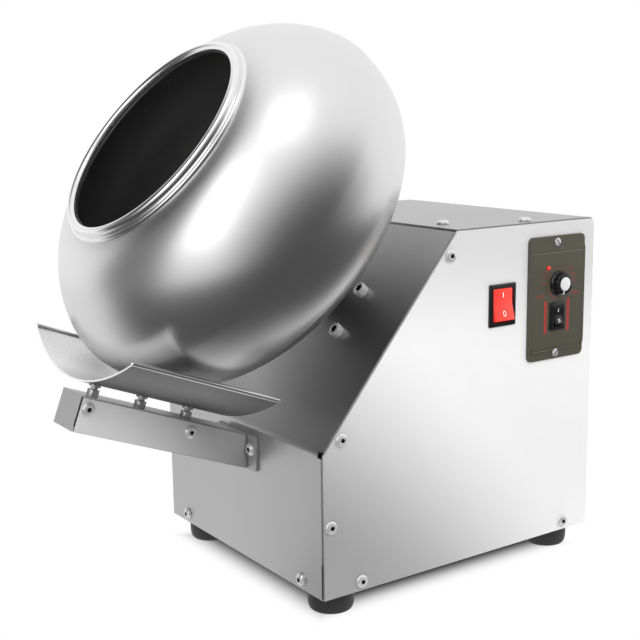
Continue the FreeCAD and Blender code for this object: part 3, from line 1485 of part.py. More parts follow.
def arm_side_outline(inset):
    """Side outline of the arm in the housing's YZ plane, drawn in by an inset."""
    drop = ARM_HEIGHT / ARM_COS
    front_top = (-ARM_REACH, ARM_REAR_TOP + ARM_REACH * ARM_SIN / ARM_COS)
    front_low = (front_top[0] - ARM_HEIGHT * ARM_SIN, front_top[1] - ARM_HEIGHT * ARM_COS)
    rear = -ARM_TAB_SHEET
    rear_top = (rear, ARM_REAR_TOP - rear * ARM_SIN / ARM_COS)
    corners = [(rear, rear_top[1] - drop), front_low, front_top, rear_top]
    if inset == 0:
        return corners
    closed = [corners[-1]] + corners + [corners[0]]
    return [line_offset_corner(closed[i - 1], closed[i], closed[i + 1], inset) for i in range(1, 5)]


def arm_channel():
    """Folded channel of the arm, closed by the side plate, with an end face and rear tabs."""
    half = ARM_WIDTH / 2
    right = half - ARM_PLATE
    outer = side_polygon(arm_side_outline(0), -half, right)
    inner = side_polygon(arm_side_outline(ARM_SHEET), -half + ARM_SHEET, right)
    shell = outer.cut(inner)
    outline = arm_side_outline(0)
    seam = (right - ARM_SEAM, half)
    low = outline[:2] + [(y, z + ARM_SHEET * 2) for y, z in reversed(outline[:2])]
    edge = side_polygon(arm_side_outline(-OVERCUT), *seam)
    kept = [side_polygon(arm_side_outline(ARM_SHEET), *seam), side_polygon(low, *seam)]
    shell = shell.cut(drilled(edge, kept))
    tab_low = outline[0][1]
    tab_high = outline[3][1]
    tab_half = half + ARM_TAB_WIDTH
    plate = box((-tab_half, tab_half), (-ARM_TAB_SHEET, 0), (tab_low, tab_high))
    corners = [edge for edge in plate.Edges if edge.BoundBox.YLength > ARM_TAB_SHEET / 2]
    plate = plate.makeFillet(ARM_TAB_CORNER, corners)
    lug_half = ARM_LUG_WIDTH / 2
    lugs = []
    bores = []
    for along, drop in arm_screw_places():
        sides = (along - lug_half, along + lug_half)
        lugs.append(on_arm(box((right - ARM_LUG_DEPTH, right), sides, (drop - lug_half, -ARM_SHEET))))
        middle = Vector(right - SCREW_GRIP, along, drop)
        bores.append(on_arm(drill_along(middle, X_AXIS, M5_RADIUS, SCREW_GRIP)))
    channel = merged([shell, plate] + lugs)
    studs = [on_arm(cylinder(STUD_RADIUS, -ARM_SHEET, 0, 0, along)) for along in stud_places()]
    tabs = [drill_along(place, Y_AXIS, M5_RADIUS, SCREW_GRIP) for place in tab_screw_places()]
    return drilled(channel, bores + studs + tabs)


def arm_side_plate():
    """Plate on the right side of the arm, drawn in so that a dark seam shows round it."""
    half = ARM_WIDTH / 2
    plate = side_polygon(arm_side_outline(ARM_SEAM / 2), half - ARM_PLATE, half)
    holes = [
        on_arm(drill_along(Vector(half, along, drop), X_AXIS, M5_RADIUS, ARM_PLATE))
        for along, drop in arm_screw_places()
    ]
    return drilled(plate, holes)


def arm_screws():
    """Screws of the arm's side plate and tabs."""
    half = ARM_WIDTH / 2
    screw = button_screw(SCREW_GRIP)
    screws = [
        on_arm(aimed(screw, Vector(half, along, drop), X_AXIS)) for along, drop in arm_screw_places()
    ]
    screws += [aimed(screw, place, Vector(0, -1, 0)) for place in tab_screw_places()]
    return group(screws)


def trough_limits():
    """Front and rear end of the trough in the arm's frame."""
    front = -ARM_LENGTH - TROUGH_OVERHANG
    return front, front + TROUGH_LENGTH


def trough_axis_height():
    """Height of the trough's centre line of curvature above the arm's top."""
    return TROUGH_GAP + TROUGH_SHEET + TROUGH_RADIUS


def stud_places():
    """Places of the three studs down the arm."""
    front, _ = trough_limits()
    return [front + along for along in STUD_PLACES]


def trough_cylinder(radius):
    """Full cylinder that a face of the curved trough lies on, in the arm's frame."""
    front, rear = trough_limits()
    base = Vector(0, front, trough_axis_height())
    return Part.makeCylinder(radius, rear - front, base, Y_AXIS)


def trough():
    """Curved trough with hemmed long edges."""
    front, rear = trough_limits()
    shell = trough_cylinder(TROUGH_RADIUS + TROUGH_SHEET).cut(trough_cylinder(TROUGH_RADIUS))
    lip = trough_axis_height() - TROUGH_RADIUS + TROUGH_SAG
    keep = box(
        (-TROUGH_HALF_WIDTH * 2, TROUGH_HALF_WIDTH * 2),
        (front, rear),
        (-TROUGH_RADIUS, lip),
    )
    sheet = shell.common(keep)
    hems = []
    for side in (-1, 1):
        base = Vector(side * TROUGH_HALF_WIDTH, front, lip)
        hems.append(Part.makeCylinder(HEM_RADIUS, rear - front, base, Y_AXIS))
    body = merged([sheet] + hems)
    holes = [cylinder(STUD_RADIUS, 0, TROUGH_GAP * 2, 0, along) for along in stud_places()]
    return on_arm(drilled(body, holes))


def trough_studs():
    """Studs between trough and arm: round head, hex spacer and nut."""
    studs = []
    head_floor = TROUGH_GAP + TROUGH_SHEET
    for along in stud_places():
        spacer = hex_prism(NUT_FLAT, 0, head_floor)
        rod = cylinder(STUD_RADIUS, -ARM_SHEET - NUT_HEIGHT, head_floor)
        nut = hex_prism(NUT_FLAT, -ARM_SHEET - NUT_HEIGHT, -ARM_SHEET)
        head = cylinder(STUD_HEAD_RADIUS, head_floor, head_floor + STUD_HEAD_HEIGHT)
        stud = merged([rod, nut, spacer, head])
        stud.translate(Vector(0, along, 0))
        wall = trough_cylinder(TROUGH_RADIUS + TROUGH_SHEET).cut(trough_cylinder(TROUGH_RADIUS))
        core = cylinder(STUD_RADIUS, 0, head_floor + STUD_HEAD_HEIGHT, 0, along)
        studs.append(on_arm(stud.cut(wall.cut(core))))
    return group(studs)


def drive_parts():
    """Every node built in the pan's axis frame."""
    nodes = {
        "gear_mount_plate": gear_mount_plate(),
        "mount_cap_screws": mount_cap_screws(),
        "gearhead_case": gearhead_case(),
        "gearhead_cover": gearhead_cover(),
        "gearhead_bearings": gearhead_bearings(),
        "shaft_seal": shaft_seal(),
        "motor_casing": motor_casing(),
        "stator_core": stator_core(),
        "stator_windings": stator_windings(),
        "motor_rear_bell": motor_rear_bell(),
        "motor_bearings": motor_bearings(),
        "motor_screws": motor_screws(),
        "rotor_shaft": rotor_shaft(),
        "rotor_core": rotor_core(),
        "cooling_fan": cooling_fan(),
        "fan_cowl": fan_cowl(),
        "output_shaft": output_shaft(),
        "shaft_key": shaft_key(),
        "pan_hub": pan_hub(),
        "hub_screws": hub_screws(),
        "pan_back": pan_back(),
        "pan_middle": pan_middle(),
        "pan_front": pan_front(),
        "pan_rim": pan_rim(),
    }
    nodes.update(gear_parts())
    return {name: on_slope(shape) for name, shape in nodes.items()}


def housing_parts():
    """Every node built in the housing's frame."""
    main_place = MAIN_SWITCH_CENTRE
    run_face = faceplate_face()
    nodes = {
        "front_slope_panel": front_slope_panel(),
        "right_side_panel": right_side_panel(),
        "left_side_panel": left_side_panel(),
        "top_rear_cover": top_rear_cover(),
        "base_tray": base_tray(),
        "foot_screws": foot_screws(),
        "housing_screws": housing_screws(),
        "capacitor": capacitor(),
        "capacitor_clip": capacitor_clip(),
        "controller_faceplate": controller_faceplate(),
        "controller_body": controller_body(),
        "controller_screws": controller_screws(),
        "status_lamp": status_lamp(),
        "speed_potentiometer": speed_potentiometer(),
        "potentiometer_spindle": potentiometer_spindle(),
        "speed_knob": speed_knob(),
        "knob_cap": knob_cap(),
        "run_switch_frame": switch_frame(RUN_SWITCH_SIZE, run_switch_place(), run_face),
        "run_switch_rocker": switch_rocker(RUN_SWITCH_SIZE, run_switch_place(), run_face),
        "main_switch_frame": switch_frame(MAIN_SWITCH_SIZE, main_place, HALF_WIDTH),
        "main_switch_rocker": switch_rocker(MAIN_SWITCH_SIZE, main_place, HALF_WIDTH),
        "cable_gland": cable_gland(),
        "arm_channel": arm_channel(),
        "arm_side_plate": arm_side_plate(),
        "arm_screws": arm_screws(),
        "trough": trough(),
        "trough_studs": trough_studs(),
    }
    for name, place in foot_places().items():
        nodes[name] = foot(place)
    return nodes


def main():
    """Build every node, move it to the table frame and write its file."""
    os.makedirs("parts", exist_ok=True)
    nodes = {**housing_parts(), **drive_parts()}
    shift = Vector(0, -MIDDLE_DEPTH, FOOT_HEIGHT)
    for name, shape in nodes.items():
        placed = shape.copy()
        placed.translate(shift)
        placed.exportStep(os.path.join("parts", name + ".step"))
    print(len(nodes), "nodes")


main()
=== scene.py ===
"""Looks of a tabletop rotating coating pan machine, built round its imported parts."""

import json
import logging
import math
from dataclasses import dataclass, field
from enum import Enum
from typing import Any, Sequence, Union

import bmesh
import bpy
import numpy as np
from mathutils import Matrix, Vector

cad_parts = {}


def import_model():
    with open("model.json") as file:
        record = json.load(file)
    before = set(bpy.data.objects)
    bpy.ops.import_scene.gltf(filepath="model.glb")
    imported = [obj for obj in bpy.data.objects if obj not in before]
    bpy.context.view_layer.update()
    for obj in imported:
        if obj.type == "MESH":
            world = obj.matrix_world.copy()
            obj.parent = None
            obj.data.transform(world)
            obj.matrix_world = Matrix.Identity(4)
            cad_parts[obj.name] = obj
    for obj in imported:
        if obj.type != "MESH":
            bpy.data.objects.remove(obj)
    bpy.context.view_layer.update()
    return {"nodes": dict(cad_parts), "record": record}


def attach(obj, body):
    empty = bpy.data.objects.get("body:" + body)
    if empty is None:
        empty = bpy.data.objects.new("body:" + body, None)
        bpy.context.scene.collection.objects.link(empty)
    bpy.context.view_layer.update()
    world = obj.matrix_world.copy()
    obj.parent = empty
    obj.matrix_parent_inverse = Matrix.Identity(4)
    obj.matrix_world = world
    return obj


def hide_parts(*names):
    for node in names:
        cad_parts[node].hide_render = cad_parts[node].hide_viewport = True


LOG = logging.getLogger("coating_pan")
MM = 0.001
WELD = 2e-6
SOFT_EDGE_ANGLE = math.radians(32)
Pair = tuple[float, float]
Triple = tuple[float, float, float]


@dataclass(frozen=True)
class Place:
    """Axes that the points of a piece are given in, in millimetres."""

    origin: Triple = (0.0, 0.0, 0.0)
    axes: tuple[Triple, Triple, Triple] = ((1.0, 0.0, 0.0), (0.0, 1.0, 0.0), (0.0, 0.0, 1.0))

    def points(self, local: np.ndarray) -> np.ndarray:
        """Points in metres: the origin plus each coordinate in millimetres times its axis."""
        return (np.array(self.origin) + local @ np.array(self.axes)) * MM

    def at(self, point: Triple, out: Triple = (0, 0, 1), across: Triple = (1, 0, 0)) -> "Place":
        """Place that sits at a point of this one with its Z axis turned.

        Args:
            point: New origin in this place.
            out: Direction of the new Z axis.
            across: Direction that the new X axis keeps nearest to.

        Returns:
            The new place.
        """
        axes = np.array(self.axes)
        z = np.array(out, float) @ axes
        z /= np.linalg.norm(z)
        x = np.array(across, float) @ axes
        x -= (x @ z) * z
        x /= np.linalg.norm(x)
        rows = (x, np.cross(z, x), z)
        origin = np.array(self.origin) + np.array(point, float) @ axes
        return Place(tuple(origin), tuple(tuple(row) for row in rows))


SLOPE_COS, SLOPE_SIN = 0.635032, 0.772485
ARM_TILT = math.radians(21)
ARM_COS, ARM_SIN = math.cos(ARM_TILT), math.sin(ARM_TILT)
HOUSING_FRONT = -66.930135
FOOT_HEIGHT = 17.0
ARM_RISE = 95.0
HOUSING = Place((0.0, HOUSING_FRONT, FOOT_HEIGHT))
PAN_AXIS = Place(
    (0.0, 9.782, 211.316),
    ((1.0, 0.0, 0.0), (0.0, SLOPE_COS, SLOPE_SIN), (0.0, -SLOPE_SIN, SLOPE_COS)),
)
ARM = Place(
    (0.0, HOUSING_FRONT, FOOT_HEIGHT + ARM_RISE),
    ((1.0, 0.0, 0.0), (0.0, ARM_COS, -ARM_SIN), (0.0, ARM_SIN, ARM_COS)),
)


def turn(count: int) -> np.ndarray:
    """Angles evenly spaced over a full turn, the last one left off."""
    return np.linspace(0, 2 * np.pi, count, endpoint=False)


def circle(radius: float, count: int = 48) -> np.ndarray:
    """Points at one radius: x = radius times cosine, y = radius times sine."""
    angle = turn(count)
    return radius * np.stack([np.cos(angle), np.sin(angle)], axis=1)


def hexagon(flats: float, count: int = 48) -> np.ndarray:
    """Points on a six-sided outline.

    The radius is half the width over flats divided by the cosine of the angle from
    the middle of the nearest flat.

    Args:
        flats: Width over flats.
        count: Number of points, a multiple of twelve so that corners are met.

    Returns:
        The outline's points.
    """
    angle = turn(count)
    off_middle = (angle + np.pi / 6) % (np.pi / 3) - np.pi / 6
    radius = flats / 2 / np.cos(off_middle)
    return np.stack([radius * np.cos(angle), radius * np.sin(angle)], axis=1)


def rounded_rectangle(width: float, height: float, corner: float, count: int = 48) -> np.ndarray:
    """Points of a rectangle whose corners are quarter circles.

    Each quarter of the points lies on one corner: its centre plus the corner radius
    times the cosine and sine of the angle.

    Args:
        width: Size along X.
        height: Size along Y.
        corner: Radius of the corners.
        count: Number of points, a multiple of four.

    Returns:
        The outline's points.
    """
    quarter = count // 4
    sweep = np.linspace(0, np.pi / 2, quarter)
    angle = np.concatenate([sweep + k * np.pi / 2 for k in range(4)])
    side_x = np.repeat([1, -1, -1, 1], quarter) * (width / 2 - corner)
    side_y = np.repeat([1, 1, -1, -1], quarter) * (height / 2 - corner)
    return np.stack([side_x + corner * np.cos(angle), side_y + corner * np.sin(angle)], axis=1)


def stack(outlines: Sequence[np.ndarray], heights: Sequence[float]) -> np.ndarray:
    """Grid whose rows are flat outlines set at their heights."""
    rows = [np.column_stack([line, np.full(len(line), z)]) for line, z in zip(outlines, heights)]
    return np.stack(rows)


def lathe(profile: np.ndarray, count: int = 96) -> np.ndarray:
    """Grid of a profile turned about Z: radius times cosine, radius times sine, height.

    Args:
        profile: Radius and height pairs.
        count: Steps round the axis.

    Returns:
        Grid with the profile along its rows.
    """
    angle = turn(count)
    radius, height = profile[:, :1], profile[:, 1:]
    return np.stack([radius * np.cos(angle), radius * np.sin(angle), height + 0 * angle], axis=2)


def arc(centre: Pair, radius: float, start: float, end: float, count: int) -> np.ndarray:
    """Points of an arc: the centre plus the radius at evenly spaced angles in degrees."""
    angle = np.radians(np.linspace(start, end, count))
    return np.array(centre) + radius * np.stack([np.cos(angle), np.sin(angle)], axis=1)


def bezier(poles: Sequence[Pair], share: np.ndarray) -> np.ndarray:
    """Points of a cubic curve: the poles weighted by the cubic Bernstein terms of the share.

    Args:
        poles: The start, the two points that the curve leans towards, and the end.
        share: How far along the curve each point lies, from 0 to 1.

    Returns:
        The curve's points.
    """
    t = share[:, None]
    a, b, c, d = (np.array(pole, float) for pole in poles)
    return (1 - t) ** 3 * a + 3 * (1 - t) ** 2 * t * b + 3 * (1 - t) * t**2 * c + t**3 * d


def softened(points: Sequence[Pair], reach: float) -> np.ndarray:
    """Line whose inner corners are replaced by short parabolas of four points.

    Each corner is cut back by the reach, or by less than half of a short side, and the
    two ends are joined by the parabola that the corner pulls on.

    Args:
        points: Corners of the line.
        reach: Distance that a corner is cut back.

    Returns:
        The points of the softened line.
    """
    corners = np.array(points, float)
    before, corner, after = corners[:-2], corners[1:-1], corners[2:]
    back = np.linalg.norm(before - corner, axis=1, keepdims=True)
    ahead = np.linalg.norm(after - corner, axis=1, keepdims=True)
    most = 0.45
    start = corner + (before - corner) * np.minimum(reach / back, most)
    end = corner + (after - corner) * np.minimum(reach / ahead, most)
    t = np.linspace(0, 1, 4)[None, :, None]
    curve = (1 - t) ** 2 * start[:, None] + 2 * (1 - t) * t * corner[:, None] + t**2 * end[:, None]
    return np.vstack([corners[:1], curve.reshape(-1, 2), corners[-1:]])


class Skin:
    """Collects the grids of one piece and makes them one mesh."""

    sunk = 0.2
    capital_share = 0.7

    def __init__(self, place: Place) -> None:
        """Start an empty skin.

        Args:
            place: Place that its points are given in.
        """
        self.place = place
        self.points: list[np.ndarray] = []
        self.faces: list[np.ndarray] = []
        self.marks: list[np.ndarray] = []
        self.total = 0

    def grid(
        self, local: np.ndarray, place: Union[Place, None] = None, around: bool = True, finish: int = 0
    ) -> None:
        """Add a grid of points joined by quads.

        Args:
            local: Points in millimetres, rows by columns by three.
            place: Place of these points, or None for the skin's own.
            around: Whether the last column joins the first.
            finish: Number of the finish that its faces take.
        """
        rows, columns = local.shape[:2]
        index = np.arange(rows * columns).reshape(rows, columns) + self.total
        if around:
            index = np.concatenate([index, index[:, :1]], axis=1)
        corners = [index[:-1, :-1], index[:-1, 1:], index[1:, 1:], index[1:, :-1]]
        quads = np.stack(corners, axis=-1).reshape(-1, 4)
        self.points.append((place or self.place).points(local.reshape(-1, 3)))
        self.faces.append(quads)
        self.marks.append(np.full(len(quads), finish))
        self.total += rows * columns

    def plate(self, upper: np.ndarray, lower: np.ndarray, under: int = 0) -> None:
        """Add a closed plate: two grids of the same shape and the strips between their edges.

        Args:
            upper: Grid of the upper face.
            lower: Grid of the lower face.
            under: Number of the finish that the lower face takes.
        """
        self.grid(upper, around=False)
        self.grid(lower, around=False, finish=under)
        for edge in (np.s_[0], np.s_[-1], np.s_[:, 0], np.s_[:, -1]):
            self.grid(np.stack([upper[edge], lower[edge]]), around=False)

    def bar(self, centre: Pair, size: Triple, place: Union[Place, None] = None) -> None:
        """Add a flat bar with rounded corners that starts a little under the place's plane.

        Args:
            centre: Middle of the bar.
            size: Width, length and height.
            place: Place of the bar, or None for the skin's own.
        """
        width, length, height = size
        outline = rounded_rectangle(width, length, min(width, length) * 0.2, 16) + np.array(centre)
        middle = outline * 0 + np.array(centre)
        self.grid(stack([middle, outline, outline, middle], [-self.sunk, -self.sunk, height, height]), place)

    def letters(self, text: str, centre: Pair, height: float, depth: float) -> None:
        """Add raised letters in the plain built-in typeface, centred on a point.

        Args:
            text: The letters.
            centre: Middle of the word.
            height: Height of a capital in millimetres.
            depth: How far the letters stand up.
        """
        curve = bpy.data.curves.new("lettering", "FONT")
        curve.body = text
        curve.align_x, curve.align_y = "CENTER", "CENTER"
        curve.size = height / self.capital_share
        curve.extrude = 0.1
        curve.resolution_u = 3
        writer = bpy.data.objects.new("lettering", curve)
        mesh = bpy.data.meshes.new_from_object(writer)
        flat = np.zeros(len(mesh.vertices) * 3)
        mesh.vertices.foreach_get("co", flat)
        local = flat.reshape(-1, 3)
        local[:, 2] = np.where(local[:, 2] > 0, depth, -0.1)
        local[:, :2] += np.array(centre)
        polygons = [np.array(face.vertices) + self.total for face in mesh.polygons]
        self.points.append(self.place.points(local))
        self.faces.extend(polygons)
        self.marks.append(np.zeros(len(polygons), int))
        self.total += len(local)
        bpy.data.objects.remove(writer)
        bpy.data.meshes.remove(mesh)
        bpy.data.curves.remove(curve)

    def build(self, name: str, finishes: Sequence[bpy.types.Material]) -> bpy.types.Object:
        """Make the piece: merge its points, turn its faces out and smooth it.

        Args:
            name: Name of the piece.
            finishes: Materials in the order of the grids' finish numbers.

        Returns:
            The new object.
        """
        faces: list[list[int]] = []
        for block in self.faces:
            faces.extend(block.tolist() if block.ndim == 2 else [block.tolist()])
        mesh = bpy.data.meshes.new(name)
        mesh.from_pydata(np.vstack(self.points).tolist(), [], faces)
        mesh.polygons.foreach_set("material_index", np.concatenate(self.marks).astype(np.int32))
        work = bmesh.new()
        work.from_mesh(mesh)
        bmesh.ops.remove_doubles(work, verts=work.verts, dist=WELD)
        bmesh.ops.recalc_face_normals(work, faces=work.faces)
        work.to_mesh(mesh)
        work.free()
        mesh.shade_smooth()
        mesh.set_sharp_from_angle(angle=SOFT_EDGE_ANGLE)
        for finish in finishes:
            mesh.materials.append(finish)
        piece = bpy.data.objects.new(name, mesh)
        bpy.context.scene.collection.objects.link(piece)
        return piece


class Wire:
    """A value in a finish's node net, with arithmetic written as expressions."""

    def __init__(self, net: "Net", socket: bpy.types.NodeSocket) -> None:
        """Wrap an output socket of a net."""
        self.net = net
        self.socket = socket

    def __add__(self, other: "Term") -> "Wire":
        """Sum."""
        return self.net.maths("ADD", self, other)

    def __radd__(self, other: "Term") -> "Wire":
        """Sum with this value second."""
        return self.net.maths("ADD", other, self)

    def __sub__(self, other: "Term") -> "Wire":
        """Difference."""
        return self.net.maths("SUBTRACT", self, other)

    def __rsub__(self, other: "Term") -> "Wire":
        """Difference with this value second."""
        return self.net.maths("SUBTRACT", other, self)

    def __mul__(self, other: "Term") -> "Wire":
        """Product."""
        return self.net.maths("MULTIPLY", self, other)

    def __rmul__(self, other: "Term") -> "Wire":
        """Product with this value second."""
        return self.net.maths("MULTIPLY", other, self)

    def rise(self, low: float, high: float) -> "Wire":
        """Smooth step of this value.

        Args:
            low: Value up to which the step is 0.
            high: Value from which it is 1.

        Returns:
            The step.
        """
        node = self.net.add(
            "ShaderNodeMapRange",
            {"interpolation_type": "SMOOTHSTEP"},
            {"Value": self, "From Min": low, "From Max": high},
        )
        return Wire(self.net, node.outputs["Result"])


Term = Union[Wire, float]


class Net:
    """Node net of one finish."""

    def __init__(self, title: str) -> None:
        """Start a material with an empty net.

        Args:
            title: Name of the material.
        """
        self.material = bpy.data.materials.new(title)
        self.material.use_nodes = True
        self.tree = self.material.node_tree
        self.tree.nodes.clear()

    def add(self, kind: str, settings: dict[str, Any], values: dict[Union[str, int], Any]) -> bpy.types.Node:
        """Add a node.

        Args:
            kind: Blender's name of the node type.
            settings: Properties, which are set first.
            values: Values or wires of its input sockets.

        Returns:
            The node.
        """
        node = self.tree.nodes.new(kind)
        for key, value in settings.items():
            setattr(node, key, value)
        for key, value in values.items():
            socket = node.inputs[key]
            if isinstance(value, Wire):
                self.tree.links.new(value.socket, socket)
            else:
                socket.default_value = value
        return node

    def maths(self, operation: str, *terms: Term) -> Wire:
        """Result of a Math node on the terms."""
        node = self.add("ShaderNodeMath", {"operation": operation}, dict(enumerate(terms)))
        return Wire(self, node.outputs["Value"])

    def position(self) -> Wire:
        """Place of the shaded point in the row frame, in metres."""
        return Wire(self, self.add("ShaderNodeTexCoord", {}, {}).outputs["Object"])

    def scaled(self, at: Wire, factors: Triple) -> Wire:
        """Vector multiplied axis by axis."""
        node = self.add("ShaderNodeVectorMath", {"operation": "MULTIPLY"}, {0: at, 1: factors})
        return Wire(self, node.outputs["Vector"])

    def minus(self, at: Wire, point: Triple) -> Wire:
        """Vector from a point to the place."""
        node = self.add("ShaderNodeVectorMath", {"operation": "SUBTRACT"}, {0: at, 1: point})
        return Wire(self, node.outputs["Vector"])

    def along(self, at: Wire, direction: Triple) -> Wire:
        """How far a vector reaches along a direction."""
        node = self.add("ShaderNodeVectorMath", {"operation": "DOT_PRODUCT"}, {0: at, 1: direction})
        return Wire(self, node.outputs["Value"])

    def length(self, at: Wire) -> Wire:
        """Length of a vector."""
        node = self.add("ShaderNodeVectorMath", {"operation": "LENGTH"}, {0: at})
        return Wire(self, node.outputs["Value"])

    def parts(self, at: Wire) -> tuple[Wire, ...]:
        """X, Y and Z of a vector."""
        node = self.add("ShaderNodeSeparateXYZ", {}, {0: at})
        return tuple(Wire(self, node.outputs[name]) for name in "XYZ")

    def joined(self, x: Term, y: Term) -> Wire:
        """Vector of two values, its Z left at nought."""
        node = self.add("ShaderNodeCombineXYZ", {}, {"X": x, "Y": y, "Z": 0.0})
        return Wire(self, node.outputs["Vector"])

    def noise(self, at: Wire, scale: float, detail: float = 2.0, roughness: float = 0.5) -> Wire:
        """Smooth random value about 0.5 at a point."""
        values = {"Vector": at, "Scale": scale, "Detail": detail, "Roughness": roughness}
        return Wire(self, self.add("ShaderNodeTexNoise", {}, values).outputs["Fac"])

    def blend(self, share: Term, first: Any, second: Any) -> Wire:
        """Colour between two colours.

        Args:
            share: How much of the second colour is taken, from 0 to 1.
            first: Colour or wire at 0.
            second: Colour or wire at 1.

        Returns:
            The blended colour.
        """
        settings = {"data_type": "RGBA"}
        node = self.add("ShaderNodeMix", settings, {0: share, 6: colour(first), 7: colour(second)})
        return Wire(self, node.outputs[2])

    def surface(self, height: Wire, depth: float, **values: Any) -> bpy.types.Material:
        """Close the net with a Principled shader.

        Args:
            height: Height pattern of the surface's relief.
            depth: Depth of that relief in metres.
            values: Shader inputs by name, with underscores for spaces.

        Returns:
            The finished material.
        """
        inputs = {name.replace("_", " "): value for name, value in values.items()}
        bump = self.add("ShaderNodeBump", {}, {"Height": height, "Distance": depth, "Strength": 1.0})
        inputs["Normal"] = Wire(self, bump.outputs["Normal"])
        shader = self.add("ShaderNodeBsdfPrincipled", {}, inputs)
        return self.close(shader.outputs["BSDF"])

    def light(self, tint: Any) -> bpy.types.Material:
        """Close the net with plain light of a colour."""
        shader = self.add("ShaderNodeEmission", {}, {"Color": tint, "Strength": 1.0})
        return self.close(shader.outputs[0])

    def close(self, shader: bpy.types.NodeSocket) -> bpy.types.Material:
        """Join the last shader to the material's output.

        Args:
            shader: Output socket of that shader.

        Returns:
            The finished material.
        """
        output = self.add("ShaderNodeOutputMaterial", {}, {})
        self.tree.links.new(shader, output.inputs["Surface"])
        return self.material


def colour(value: Any) -> Any:
    """Colour with its alpha added, or the wire as it is."""
    return value if isinstance(value, Wire) else (*value, 1.0)


def grey(tone: float) -> Triple:
    """Colour without a hue."""
    return (tone, tone, tone)


class Grain(Enum):
    """Direction that a brushed sheet was ground in."""

    ACROSS = (9.0, 420.0, 420.0)
    DEEP = (420.0, 9.0, 420.0)


@dataclass(frozen=True)
class PaintedShading:
    """Painted light and shade: a gradual change of a sheet's tone along one direction, where reflections
    make it lighter or darker.
    """

    tone: float
    along: Triple
    start: float
    end: float

    def over(self, net: Net, at: Wire, first: Wire) -> Wire:
        """First colour that turns into this painted tone by a smooth step along the direction."""
        return net.blend(net.along(at, self.along).rise(self.start, self.end), first, grey(self.tone))


@dataclass(frozen=True)
class BrushedSheet:
    """Stainless sheet with fine grinding lines, faint handling marks, uneven sheen and, where given, painted
    light and shade.
    """

    title: str
    tone: float
    sheen: float
    grain: Grain
    metal: float = 1.0
    painted_shading: tuple[PaintedShading, ...] = ()
    relief: float = 0.00001

    def material(self) -> bpy.types.Material:
        """Noise stretched along the grain and a broad cloud, blended into tone and sheen.

        Returns:
            The finish as a material.
        """
        net = Net(self.title)
        at = net.position()
        lines = net.noise(net.scaled(at, self.grain.value), 6.0, 3.0, 0.6)
        cloud = net.noise(at, 14.0, 3.0, 0.6)
        specks = net.noise(at, 900.0, 1.0).rise(0.66, 0.74)
        tint = net.blend(cloud * 0.5 + lines * 0.5, grey(self.tone * 0.95), grey(self.tone * 1.05))
        # Painted light and shade: each step blends the tone lighter or darker along its direction.
        for painted_step in self.painted_shading:
            tint = painted_step.over(net, at, tint)
        rough = self.sheen - 0.05 + 0.08 * cloud + 0.06 * lines + 0.05 * specks
        return net.surface(lines, self.relief, Base_Color=tint, Roughness=rough, Metallic=self.metal)


@dataclass(frozen=True)
class SpunSteel:
    """Spun pan steel: fine rings round the pan's axis and a satin sheen."""

    title: str
    tone: float
    sheen: float
    ring_depth: float
    fine_rings: float = 900.0
    wide_rings: float = 60.0

    def material(self) -> bpy.types.Material:
        """Noise on the distances along the pan's axis and from its origin, plus a cloud.

        Returns:
            The finish as a material.
        """
        net = Net(self.title)
        at = net.position()
        arm = net.minus(at, tuple(value * MM for value in PAN_AXIS.origin))
        along, length = net.along(arm, PAN_AXIS.axes[2]), net.length(arm)
        rings = net.noise(net.joined(along * self.fine_rings, length * self.fine_rings), 1.0, 3.0, 0.65)
        bands = net.noise(net.joined(along * self.wide_rings, length * self.wide_rings), 1.0, 2.0)
        cloud = net.noise(at, 11.0, 4.0, 0.6)
        tint = net.blend(0.5 * rings + 0.5 * cloud, grey(self.tone * 0.94), grey(self.tone * 1.05))
        rough = self.sheen - 0.06 + 0.06 * rings + 0.05 * bands + 0.06 * cloud
        height = rings * 0.6 + bands * 0.4
        return net.surface(height, self.ring_depth, Base_Color=tint, Roughness=rough, Metallic=1.0)


@dataclass(frozen=True)
class CleanMetal:
    """Small metal part: turned, cast or plated, with faint smudges."""

    title: str
    tone: Triple
    sheen: float
    relief: float = 0.000004
    scale: float = 260.0
    metal: float = 1.0

    def material(self) -> bpy.types.Material:
        """Fine noise and a broad cloud, blended into tone and sheen.

        Returns:
            The finish as a material.
        """
        net = Net(self.title)
        at = net.position()
        fine = net.noise(at, self.scale, 4.0, 0.6)
        cloud = net.noise(at, 40.0, 3.0)
        dark = tuple(value * 0.82 for value in self.tone)
        tint = net.blend(cloud * 0.6 + fine * 0.4, dark, self.tone)
        rough = self.sheen - 0.04 + 0.1 * cloud + 0.05 * fine
        return net.surface(fine, self.relief, Base_Color=tint, Roughness=rough, Metallic=self.metal)


@dataclass(frozen=True)
class Moulding:
    """Moulded plastic or rubber with a fine skin texture."""

    title: str
    tone: Triple
    sheen: float
    relief: float = 0.000006
    scale: float = 1400.0
    coat: float = 0.0

    def material(self) -> bpy.types.Material:
        """Fine noise and a broad cloud, blended into tone and sheen under a coat.

        Returns:
            The finish as a material.
        """
        net = Net(self.title)
        at = net.position()
        fine = net.noise(at, self.scale, 2.0, 0.6)
        cloud = net.noise(at, 70.0, 3.0)
        pale = tuple(value * 1.25 + 0.004 for value in self.tone)
        tint = net.blend(cloud * 0.7 + fine * 0.3, self.tone, pale)
        rough = self.sheen - 0.03 + 0.08 * cloud + 0.04 * fine
        coat = {"Coat_Weight": self.coat, "Coat_Roughness": 0.06}
        return net.surface(fine, self.relief, Base_Color=tint, Roughness=rough, **coat)


